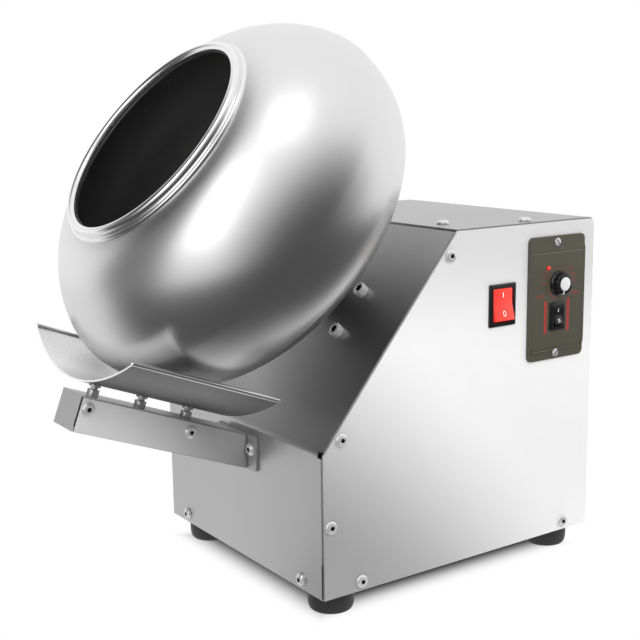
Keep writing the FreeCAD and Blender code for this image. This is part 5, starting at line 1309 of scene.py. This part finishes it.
@dataclass
class Controller(SubAssembly):
    """Speed controller plate with knob, dial, lamp and run switch."""

    face: float = 110.3
    soft_edge: float = 0.3
    knob_centre: Pair = (212.75, 195.4)
    knob_gap: float = 0.5
    lamp_centre: Pair = (201.8, 207.5)
    lamp_radius: float = 1.5
    switch_centre: Pair = (211.4, 170.7)
    screw_middle: Pair = (211.4, 184.5)
    screw_reach: float = 41.5
    screw_seat: float = 109.5
    dial_radius: float = 11.6
    number_radius: float = 15.8
    switch_bars: Pair = (-11.6, 12.0)
    print_depth: float = 0.04
    fold_middle: Pair = (212.0, 184.5)
    fold_width: float = 51.0
    fold_heights: Pair = (34.0, -39.0)
    flutes: int = 14
    flute_radius: float = 1.4
    flute_circle: float = 8.9
    pointer_heading: float = -103.0

    def build(self) -> None:
        """Make the plate, its screws, the print, the knob and the lamp."""
        looks = self.finishes
        piece = self.softened_copy("controller_faceplate", "controller_plate", self.soft_edge, looks.plate)
        self.fit(piece, "housing", "faceplate", "controller_faceplate")
        self.screws()
        self.dial()
        self.paint_fold_light_and_shade()
        self.knob()
        self.lamp()

    def spot(self, centre: Pair, x: float) -> Place:
        """Place on the right side whose Z axis points out and whose Y axis points up."""
        return HOUSING.at((x, *centre), (1, 0, 0), (0, 1, 0))

    def screws(self) -> None:
        """Slotted round heads above and below the raised middle.

        The head is a turned dome. The slot is a bar of painted shade let into it between two flats, so it
        reads as a cut.
        """
        skin = Skin(HOUSING)
        dome = softened([(0, 0), (3.0, 0), (3.0, 0.7), (2.2, 1.35), (0, 1.5)], 0.35)
        slot = rounded_rectangle(0.8, 5.2, 0.1, 16)
        rings = [slot * 0, slot, slot, slot * 0]
        across, up = self.screw_middle
        for side in (-1, 1):
            seat = self.spot((across, up + side * self.screw_reach), self.screw_seat)
            place = seat.at((0, 0, 0), across=(0.8, side * 0.6, 0))
            skin.grid(lathe(dome, 48), place)
            skin.grid(stack(rings, [0.6, 0.6, 1.52, 1.52]), place, finish=1)
        piece = skin.build("controller_slotted_screws", self.head_looks)
        self.fit(piece, "housing", "screw_steel", "controller_screws")

    def dial(self) -> None:
        """Printed scale round the knob, LOW and HIGH, and a bar on each side of the switch."""
        place = self.spot(self.knob_centre, self.face)
        skin = Skin(place)
        depth = self.print_depth
        for angle in np.radians(range(-126, 127, 18)):
            x, y = math.sin(angle), math.cos(angle)
            tick = place.at((x * self.dial_radius, y * self.dial_radius, 0), across=(y, -x, 0))
            skin.bar((0, 0), (0.45, 2.0, depth), tick)
        sweep = np.radians(np.linspace(-172, -128, 24))
        edges = np.stack([np.stack([r * np.sin(sweep), r * np.cos(sweep)], axis=1) for r in (10.9, 11.4)])
        skin.plate(*(np.dstack([edges, np.full((2, 24), z)]) for z in (depth, -0.1)))
        numbers = {-90: "10", -72: "20", -54: "30", 54: "70", 72: "80", 90: "90"}
        for degrees, text in numbers.items():
            angle = math.radians(degrees)
            spot = (self.number_radius * math.sin(angle), self.number_radius * math.cos(angle) + 0.6)
            skin.letters(text, spot, 2.2, depth)
        skin.letters("LOW", (-17.6, -8.6), 2.4, depth)
        skin.letters("HIGH", (17.4, -8.4), 2.4, depth)
        across, up = np.array(self.switch_centre) - self.knob_centre
        for offset in self.switch_bars:
            skin.bar((across + offset, up), (2.6, 24.5, depth))
        self.fit(skin.build("controller_print", [self.finishes.print_red]), "housing", "faceplate")

    def paint_fold_light_and_shade(self) -> None:
        """Painted highlight and painted shade: thin light and dark lines where the middle of the plate
        stands up from its ends.
        """
        place = self.spot(self.fold_middle, self.face)
        light, dark = Skin(place), Skin(place)
        top, bottom = self.fold_heights
        for height, side in ((top, 1), (bottom, -1)):
            light.bar((0.0, height), (self.fold_width, 0.35, 0.03))
            dark.bar((0.0, height + 0.45 * side), (self.fold_width, 0.45, 0.03))
            dark.bar((side * 25.6, (top + bottom) / 2), (0.3, top - bottom, 0.02))
        self.fit(light.build("plate_fold_painted_highlights", [self.finishes.fold_painted_highlight]), "housing", "faceplate")
        self.fit(dark.build("plate_fold_painted_shadows", [self.finishes.fold_painted_shade]), "housing", "faceplate")

    def knob(self) -> None:
        """Fluted knob with a bright cap and a white pointer.

        Each grip ring has the cone's radius, lowered at every flute to the near side of
        the flute's own circle.
        """
        place = self.spot(self.knob_centre, self.face + self.knob_gap)
        count = self.flutes * 16
        angle = turn(count)
        step = 2 * np.pi / self.flutes
        off = (angle + step / 2) % step - step / 2
        inside = np.maximum(self.flute_radius**2 - (self.flute_circle * np.sin(off)) ** 2, 0)
        bite = np.where(inside > 0, self.flute_circle * np.cos(off) - np.sqrt(inside), 99.0)
        base = [(0.0, 0.0), (8.8, 0.0), (9.0, 0.2), (9.0, 0.9), (8.9, 1.1), (8.5, 1.85)]
        grip = [(8.35, 2.05), (8.3, 2.3), (8.1, 4.0), (7.9, 5.4), (7.75, 5.9), (7.4, 6.3)]
        crown = [(7.0, 6.5), (5.3, 6.5), (5.15, 6.4), (5.1, 5.75), (0.0, 5.75)]
        around = np.stack([np.cos(angle), np.sin(angle)], axis=1)
        rings = [radius * around for radius, _ in base]
        rings += [np.minimum(radius, bite)[:, None] * around for radius, _ in grip]
        rings += [radius * around for radius, _ in crown]
        skin = Skin(place)
        skin.grid(stack(rings, [height for _, height in base + grip + crown]))
        piece = skin.build("fluted_knob", [self.finishes.gloss_black])
        self.fit(piece, "knob", "black_plastic", "speed_knob")
        heading = math.radians(self.pointer_heading)
        mark = Skin(place.at((0, 0, 0), across=(math.cos(heading), math.sin(heading), 0)))
        ridge = [(5.4, 6.54), (6.9, 6.54), (7.5, 6.36), (7.82, 5.95), (8.12, 4.0), (8.36, 2.2)]
        upper = np.array([[[radius, side, height] for side in (-0.4, 0.4)] for radius, height in ridge])
        mark.plate(upper, upper - np.array([0.5, 0.0, 0.5]))
        self.fit(mark.build("knob_pointer", [self.finishes.print_white]), "knob", "black_plastic")
        cap = softened([(0, 5.7), (5.08, 5.7), (5.08, 6.65), (4.6, 6.95), (0, 7.0)], 0.25)
        dome = Skin(place)
        dome.grid(lathe(cap, 64))
        self.fit(dome.build("knob_bright_cap", [self.finishes.chrome]), "knob", "rim_steel", "knob_cap")

    def lamp(self) -> None:
        """Small round lamp: a turned stem with a half-round crown."""
        place = self.spot(self.lamp_centre, self.face)
        crown = arc((0, 0.5), self.lamp_radius, 0, 90, 10)
        profile = np.vstack([[(0, -5.0), (self.lamp_radius, -5.0)], crown])
        skin = Skin(place)
        skin.grid(lathe(profile, 40))
        self.fit(skin.build("round_lamp", [self.finishes.red_lamp]), "housing", "red_lamp", "status_lamp")


@dataclass
class RockerSwitch(SubAssembly):
    """Rocker switch on the right side: a chamfered frame and a curved paddle."""

    name: str = "main"
    body: str = "main_rocker"
    centre: Pair = (158.3, 184.5)
    face: float = 107.5
    width: float = 25.5
    height: float = 31.0
    tilt: float = 8.0
    rise: float = 5.2
    dip: float = 3.75
    bezel: float = 3.2
    well: float = 5.0
    stroke: Triple = (0.75, 3.6, 0.06)
    slot: str = "red_plastic"

    def build(self) -> None:
        """Make the frame, the paddle and its marks."""
        self.frame()
        self.paddle()

    def frame(self) -> None:
        """Frame: rounded rectangles stacked from the seat over the chamfer into the opening."""
        place = HOUSING.at((self.face, *self.centre), (1, 0, 0), (0, 1, 0))
        wide, tall = self.width, self.height
        inner = (wide - 2 * self.bezel, tall - 2 * self.bezel)
        opening = rounded_rectangle(*inner, 0.6)
        foot = rounded_rectangle(wide, tall, 1.0)
        chamfer = [(0.5, 1.0), (1.6, 0.9), (2.0, 0.8)]
        slopes = [rounded_rectangle(wide - cut, tall - cut, corner) for cut, corner in chamfer]
        edge = rounded_rectangle(inner[0] + 0.5, inner[1] + 0.5, 0.7)
        skin = Skin(place)
        rings = [foot, foot, *slopes, edge, opening, opening, foot]
        skin.grid(stack(rings, [0.0, 1.0, 1.5, 1.95, 2.0, 2.0, 1.75, -3.0, 0.0]))
        # The well under the paddle takes the gap's painted shade.
        skin.grid(stack([opening, opening * 0.98, circle(0)], [-3.0, -self.well, -self.well]), finish=1)
        piece = skin.build(self.name + "_switch_bezel", [self.finishes.gloss_black, self.finishes.gap])
        self.fit(piece, "housing", "black_plastic", self.name + "_switch_frame")

    def top(self, z: np.ndarray, half: float) -> np.ndarray:
        """Height of the paddle: the dip plus the rise times a softened share of the distance."""
        share = np.sqrt((z / half) ** 2 + 0.02) - math.sqrt(0.02)
        return self.dip + (self.rise - self.dip) * share / (math.sqrt(1.02) - math.sqrt(0.02))

    def paddle(self) -> None:
        """Paddle: one rounded section carried from end to end over the shallow dip.

        A section has straight sides and quarter-round shoulders. Near both ends its top
        drops as a quarter circle, and the ends close on their middle line.
        """
        lean = math.radians(self.tilt)
        pivot = HOUSING.at((self.face - 2.0, *self.centre), (math.cos(lean), 0, math.sin(lean)), (0, 1, 0))
        half_w = self.width / 2 - self.bezel - 0.35
        half_h = self.height / 2 - self.bezel - 0.7
        shoulder = 0.7
        ends = half_h - shoulder * (1 - np.sin(np.linspace(0, np.pi / 2, 6)))
        along = np.concatenate([-ends[::-1], np.linspace(-ends[0], ends[0], 25)[1:-1], ends])
        drop = shoulder * (1 - np.cos(np.linspace(0, np.pi / 2, 6)))
        lowered = np.concatenate([drop[::-1], np.zeros(23), drop])
        top = self.top(along, half_h) - lowered
        corner = np.linspace(0, np.pi / 2, 6)
        side_y = half_w - shoulder + shoulder * np.cos(corner)
        side_z = shoulder * np.sin(corner) - shoulder
        across = np.concatenate([[half_w], side_y, -side_y[::-1], [-half_w]])
        up = np.concatenate([[0.0], side_z, side_z[::-1], [0.0]])
        level = top[:, None] + up[None, :]
        level[:, 0] = level[:, -1] = -2.0
        grid = np.stack(np.broadcast_arrays(across[None, :], along[:, None], level), axis=2)
        closed = np.concatenate([grid[:1] * np.array([0, 1, 1]), grid, grid[-1:] * np.array([0, 1, 1])])
        skin = Skin(pivot)
        skin.grid(closed)
        looks = self.finishes
        finish = looks.red_paddle if self.slot == "red_plastic" else looks.gloss_black
        piece = skin.build(self.name + "_switch_paddle", [finish])
        self.fit(piece, self.body, self.slot, self.name + "_switch_rocker")
        self.marks(pivot, half_h)

    def marks(self, pivot: Place, half_h: float) -> None:
        """Stroke for on in the upper half and ring for off in the lower half.

        Args:
            pivot: Place of the paddle.
            half_h: Half of the paddle's length.
        """
        size = self.height / 31.0
        reach = half_h * 0.56
        skin = Skin(pivot)
        for side in (-1, 1):
            spot = np.array([side * reach])
            slope = (self.top(spot + 0.5, half_h) - self.top(spot - 0.5, half_h))[0]
            seat = pivot.at((0, side * reach, self.top(spot, half_h)[0]), (0, -slope, 1))
            wide, tall, raised = self.stroke
            if side > 0:
                skin.bar((0, 0.4), (wide * size, tall * size, raised), seat)
                continue
            ring = np.array([(1.1, -1), (1.55, -1), (1.55, 1), (1.1, 1), (1.1, -1)])
            oval = lathe(ring, 40) * np.array([0.95 * size, 1.3 * size, 1.0])
            oval[:, :, 2] = np.where(oval[:, :, 2] > 0, raised, -0.3)
            skin.grid(oval, seat)
        piece = skin.build(self.name + "_switch_marks", [self.finishes.print_white])
        self.fit(piece, self.body, self.slot)


@dataclass
class Gland(SubAssembly):
    """Cable gland at the rear."""

    place: Triple = (-72.0, 253.0, 40.0)
    flats: float = 21.0
    bore: float = 4.2
    grip: float = 9.0
    points: int = 48

    def build(self) -> None:
        """Make the hexagon flange and the dome nut round the bore."""
        bore, grip, flange = circle(self.bore), circle(self.grip), hexagon(self.flats)
        ribbed = grip * (1 - 0.03 * (np.arange(self.points) % 4 < 2)[:, None])
        dome = [circle(radius) for radius in (8.3, 6.9, 5.4, 4.6)]
        rings = [bore, circle(7.0), flange, flange, circle(self.flats / 2 * 0.96), grip, ribbed, ribbed]
        rings += [*dome, bore, bore]
        levels = [-1.0, 0.0, 0.0, 4.3, 5.0, 5.0, 5.3, 8.2, 9.8, 12.2, 13.0, 13.0, 12.4, -1.0]
        skin = Skin(HOUSING.at(self.place, (0, 1, 0)))
        skin.grid(stack(rings, levels))
        piece = skin.build("rear_cable_gland", [self.finishes.matt_black])
        self.fit(piece, "housing", "fan_plastic", "cable_gland")


@dataclass
class InnerParts(SubAssembly):
    """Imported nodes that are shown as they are, dressed by their slot."""

    slots: dict[str, str] = field(default_factory=dict)

    def build(self) -> None:
        """Give every imported node the finish of its slot."""
        for name, node in self.nodes.items():
            node.data.materials.clear()
            node.data.materials.append(self.finishes.by_slot[self.slots[name]])
            LOG.info("%s keeps its packed shape", name)


@dataclass(frozen=True)
class SoftBox:
    """Lamp with a rectangular face, aimed at the machine."""

    name: str
    azimuth: float
    elevation: float
    distance: float
    wide: float
    tall: float
    power: float
    mirrored: bool = True


@dataclass(frozen=True)
class Patch:
    """Soft dark patch of the surround, its directions and half sizes in degrees.

    The core is the squared distance, in half widths and half heights, from which it
    gets brighter.
    """

    azimuth: float
    elevation: float
    wide: float
    tall: float
    dark: float
    core: float

    def glow(self, net: Net, x: Wire, y: Wire, height: Wire) -> Wire:
        """Brightness that the patch leaves at a point of the surround.

        Args:
            net: Net of the surround's finish.
            x: First level coordinate from the middle.
            y: Second level coordinate from the middle.
            height: Elevation of the point in radians.

        Returns:
            The brightness.
        """
        turned = math.radians(self.azimuth)
        forward = x * math.cos(turned) + y * math.sin(turned)
        side = y * math.cos(turned) - x * math.sin(turned)
        off_side = net.maths("ARCTAN2", side, forward) * (1 / math.radians(self.wide))
        off_height = (height - math.radians(self.elevation)) * (1 / math.radians(self.tall))
        far = (off_side * off_side + off_height * off_height).rise(self.core, 1.0)
        return self.dark + (1.0 - self.dark) * far


@dataclass
class Studio:
    """Floor, backdrop light, lamps and camera."""

    camera_place: Triple = (0.705983, -0.481628, 0.347088)
    camera_right: Triple = (0.57128613, 0.82065559, -0.01251263)
    camera_up: Triple = (-0.14561642, 0.11634844, 0.9824759)
    camera_back: Triple = (0.80773016, -0.55945281, 0.18596917)
    lens: float = 65.24
    middle: Triple = (0.0, -0.08, 0.2)
    room_light: float = 0.55
    shadow_middle: float = 0.054
    shadow_half: Pair = (0.11, 0.13)
    surround_reach: float = 1.5
    boxes: tuple[SoftBox, ...] = (
        SoftBox("front_box", -74.0, 33.0, 1.25, 0.62, 0.98, 2.00),
        SoftBox("over_box", -35.0, 73.0, 1.2, 0.54, 0.50, 0.70),
        SoftBox("right_box", 5.0, 28.0, 1.6, 0.8, 0.8, 16.0, mirrored=False),
    )
    patches: tuple[Patch, ...] = (
        Patch(1.0, -5.0, 68.0, 68.0, 0.08, 0.05),
        Patch(-136.0, 42.0, 38.0, 30.0, 0.12, 0.20),
        Patch(-112.0, 10.0, 27.0, 74.0, 0.16, 0.22),
    )

    def build(self) -> None:
        """Set up the stage."""
        scene = bpy.context.scene
        scene.view_settings.view_transform = "Standard"
        self.camera()
        self.world()
        self.floor()
        self.lamps()
        self.surround()
        self.floor_card()

    def camera(self) -> None:
        """Camera at the photograph's place."""
        data = bpy.data.cameras.new("photo_view")
        data.lens = self.lens
        data.sensor_width = 36.0
        data.clip_start = 0.01
        holder = bpy.data.objects.new("photo_view", data)
        turned = Matrix((self.camera_right, self.camera_up, self.camera_back)).transposed().to_4x4()
        holder.matrix_world = Matrix.Translation(self.camera_place) @ turned
        bpy.context.scene.collection.objects.link(holder)
        bpy.context.scene.camera = holder

    def seen(self, tree: bpy.types.NodeTree) -> bpy.types.NodeSocket:
        """One for camera, glossy and transmission rays, and nought for the rest.

        Args:
            tree: Node tree that the nodes are added to.

        Returns:
            The output socket of that value.
        """
        light = tree.nodes.new("ShaderNodeLightPath")
        total = light.outputs["Is Camera Ray"]
        for name in ("Is Glossy Ray", "Is Transmission Ray"):
            either = tree.nodes.new("ShaderNodeMath")
            either.operation = "MAXIMUM"
            tree.links.new(total, either.inputs[0])
            tree.links.new(light.outputs[name], either.inputs[1])
            total = either.outputs["Value"]
        return total

    def world(self) -> None:
        """White backdrop, dimmer as a light on matt surfaces."""
        world = bpy.data.worlds.new("pale_room")
        world.use_nodes = True
        tree = world.node_tree
        tree.nodes.clear()
        mix = tree.nodes.new("ShaderNodeMixShader")
        tree.links.new(self.seen(tree), mix.inputs[0])
        for number, strength in enumerate((self.room_light, 1.0), 1):
            backdrop = tree.nodes.new("ShaderNodeBackground")
            backdrop.inputs["Color"].default_value = (1, 1, 1, 1)
            backdrop.inputs["Strength"].default_value = strength
            tree.links.new(backdrop.outputs[0], mix.inputs[number])
        out = tree.nodes.new("ShaderNodeOutputWorld")
        tree.links.new(mix.outputs[0], out.inputs["Surface"])
        bpy.context.scene.world = world

    def floor(self) -> None:
        """Pale floor with a painted shadow, darker under the machine, that turns plain white away from its
        shadow.
        """
        skin = self.level_sheet((-4.0, 4.0), (-4.0, 4.0), 9, 0.0)
        net = Net("pale_floor_with_painted_shadow")
        at = net.position()
        x, y, _ = net.parts(at)
        wide, deep = self.shadow_half
        behind = net.maths("ABSOLUTE", y - self.shadow_middle) - deep
        apart = net.maths("MAXIMUM", net.maths("ABSOLUTE", x) - wide, behind)
        pale = net.blend(net.noise(at, 90.0, 3.0), grey(0.92), grey(0.96))
        # Painted shadow: the floor's colour darkens to near black under the machine.
        tint = net.blend(apart.rise(-0.034, 0.0), grey(0.06), pale)
        matt = net.add("ShaderNodeBsdfDiffuse", {}, {"Color": tint})
        white = net.add("ShaderNodeEmission", {}, {"Color": (1, 1, 1, 1), "Strength": 1.0})
        share = Wire(net, self.seen(net.tree)) * apart.rise(-0.036, -0.002)
        mix = net.add("ShaderNodeMixShader", {}, {0: share})
        net.tree.links.new(matt.outputs[0], mix.inputs[1])
        net.tree.links.new(white.outputs[0], mix.inputs[2])
        skin.build("pale_floor_with_painted_shadow", [net.close(mix.outputs[0])])

    def level_sheet(self, across: Pair, along: Pair, count: int, height: float) -> Skin:
        """Level square net of points.

        Args:
            across: Its two ends along X in metres.
            along: Its two ends along Y in metres.
            count: Points on each side.
            height: Height in millimetres.

        Returns:
            The skin, ready to be built.
        """
        x, y = np.meshgrid(np.linspace(*across, count) / MM, np.linspace(*along, count) / MM)
        skin = Skin(Place())
        skin.grid(np.stack([x, y, 0 * x + height], axis=2), around=False)
        return skin

    def towards(self, azimuth: float, elevation: float, distance: float) -> Vector:
        """Point at a distance from the machine's middle.

        Args:
            azimuth: Direction round the vertical axis in degrees.
            elevation: Direction above the floor in degrees.
            distance: Distance in metres.

        Returns:
            The point.
        """
        a, e = math.radians(azimuth), math.radians(elevation)
        out = Vector((math.cos(a) * math.cos(e), math.sin(a) * math.cos(e), math.sin(e)))
        return Vector(self.middle) + out * distance

    def aim(self, holder: bpy.types.Object, spot: Vector) -> None:
        """Put an object at a spot with its -Z axis towards the machine."""
        heading = (Vector(self.middle) - spot).to_track_quat("-Z", "Y")
        holder.matrix_world = Matrix.Translation(spot) @ heading.to_matrix().to_4x4()

    def lamps(self) -> None:
        """Soft boxes: one low on the left front, one overhead and one for the right side.

        The right one lights matt surfaces only, so it isn't mirrored in the pan.
        """
        for box in self.boxes:
            data = bpy.data.lights.new(box.name, "AREA")
            data.shape = "RECTANGLE"
            data.size, data.size_y = box.wide, box.tall
            data.energy = box.power
            holder = bpy.data.objects.new(box.name, data)
            holder.visible_glossy = box.mirrored
            bpy.context.scene.collection.objects.link(holder)
            self.aim(holder, self.towards(box.azimuth, box.elevation, box.distance))

    def surround(self) -> None:
        """Dome outside the picture whose soft dark patches, multiplied, shape the reflections."""
        a = turn(96)[:, None]
        e = np.radians(np.linspace(-7.6, 89.9, 40))[None, :]
        out = np.stack([np.cos(a) * np.cos(e), np.sin(a) * np.cos(e), np.sin(e) + 0 * a], axis=2)
        skin = Skin(Place())
        skin.grid((np.array(self.middle) + self.surround_reach * out).transpose(1, 0, 2) / MM)
        net = Net("surround")
        x, y, z = net.parts(net.minus(net.position(), self.middle))
        height = net.maths("ARCSINE", z * (1 / self.surround_reach))
        glow = 1.0
        for patch in self.patches:
            glow = patch.glow(net, x, y, height) * glow
        self.hide(skin.build("surround", [net.light(net.blend(glow, grey(0.0), grey(1.0)))]))

    def floor_card(self) -> None:
        """Card on the floor in front and to the right.

        It is dark on the right of a line that leaves the machine's front to the left,
        and gets bright over a short way across that line.
        """
        skin = self.level_sheet((-2.5, 3.9), (-3.9, 2.6), 33, 0.8)
        net = Net("card_on_floor")
        at = net.position()
        x, y, _ = net.parts(at)
        beyond = net.maths("MAXIMUM", net.along(at, (0.78, -0.62, 0.0)) - 0.139, x - 0.16)
        bright = net.maths("MAXIMUM", 1.0 - beyond.rise(-0.12, 0.10), y.rise(0.6, 2.2))
        self.hide(skin.build("card_on_floor", [net.light(net.blend(bright, grey(0.08), grey(0.86)))]))

    def hide(self, piece: bpy.types.Object) -> None:
        """Leave a card to reflections alone.

        Args:
            piece: The card's object.
        """
        piece.visible_camera = False
        piece.visible_diffuse = False
        piece.visible_shadow = False


def main() -> None:
    """Build every sub-assembly in order."""
    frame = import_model()
    nodes = frame["nodes"]
    finishes = Finishes()
    slots = {part["node"]: part["material_slot"] for part in frame["record"]["subparts"]}
    InnerParts(nodes, finishes, slots).build()
    Housing(nodes, finishes).build()
    Pan(nodes, finishes).build()
    Bracket(nodes, finishes).build()
    plate = Controller(nodes, finishes)
    plate.build()
    RockerSwitch(nodes, finishes).build()
    spot = {"centre": plate.switch_centre, "face": plate.face, "width": 15.0, "height": 21.0}
    RockerSwitch(nodes, finishes, "run", "run_rocker", slot="black_plastic", **spot).build()
    Gland(nodes, finishes).build()
    Studio().build()


if __name__ == "__main__":
    logging.basicConfig(level=logging.INFO, format="%(message)s")
    main()
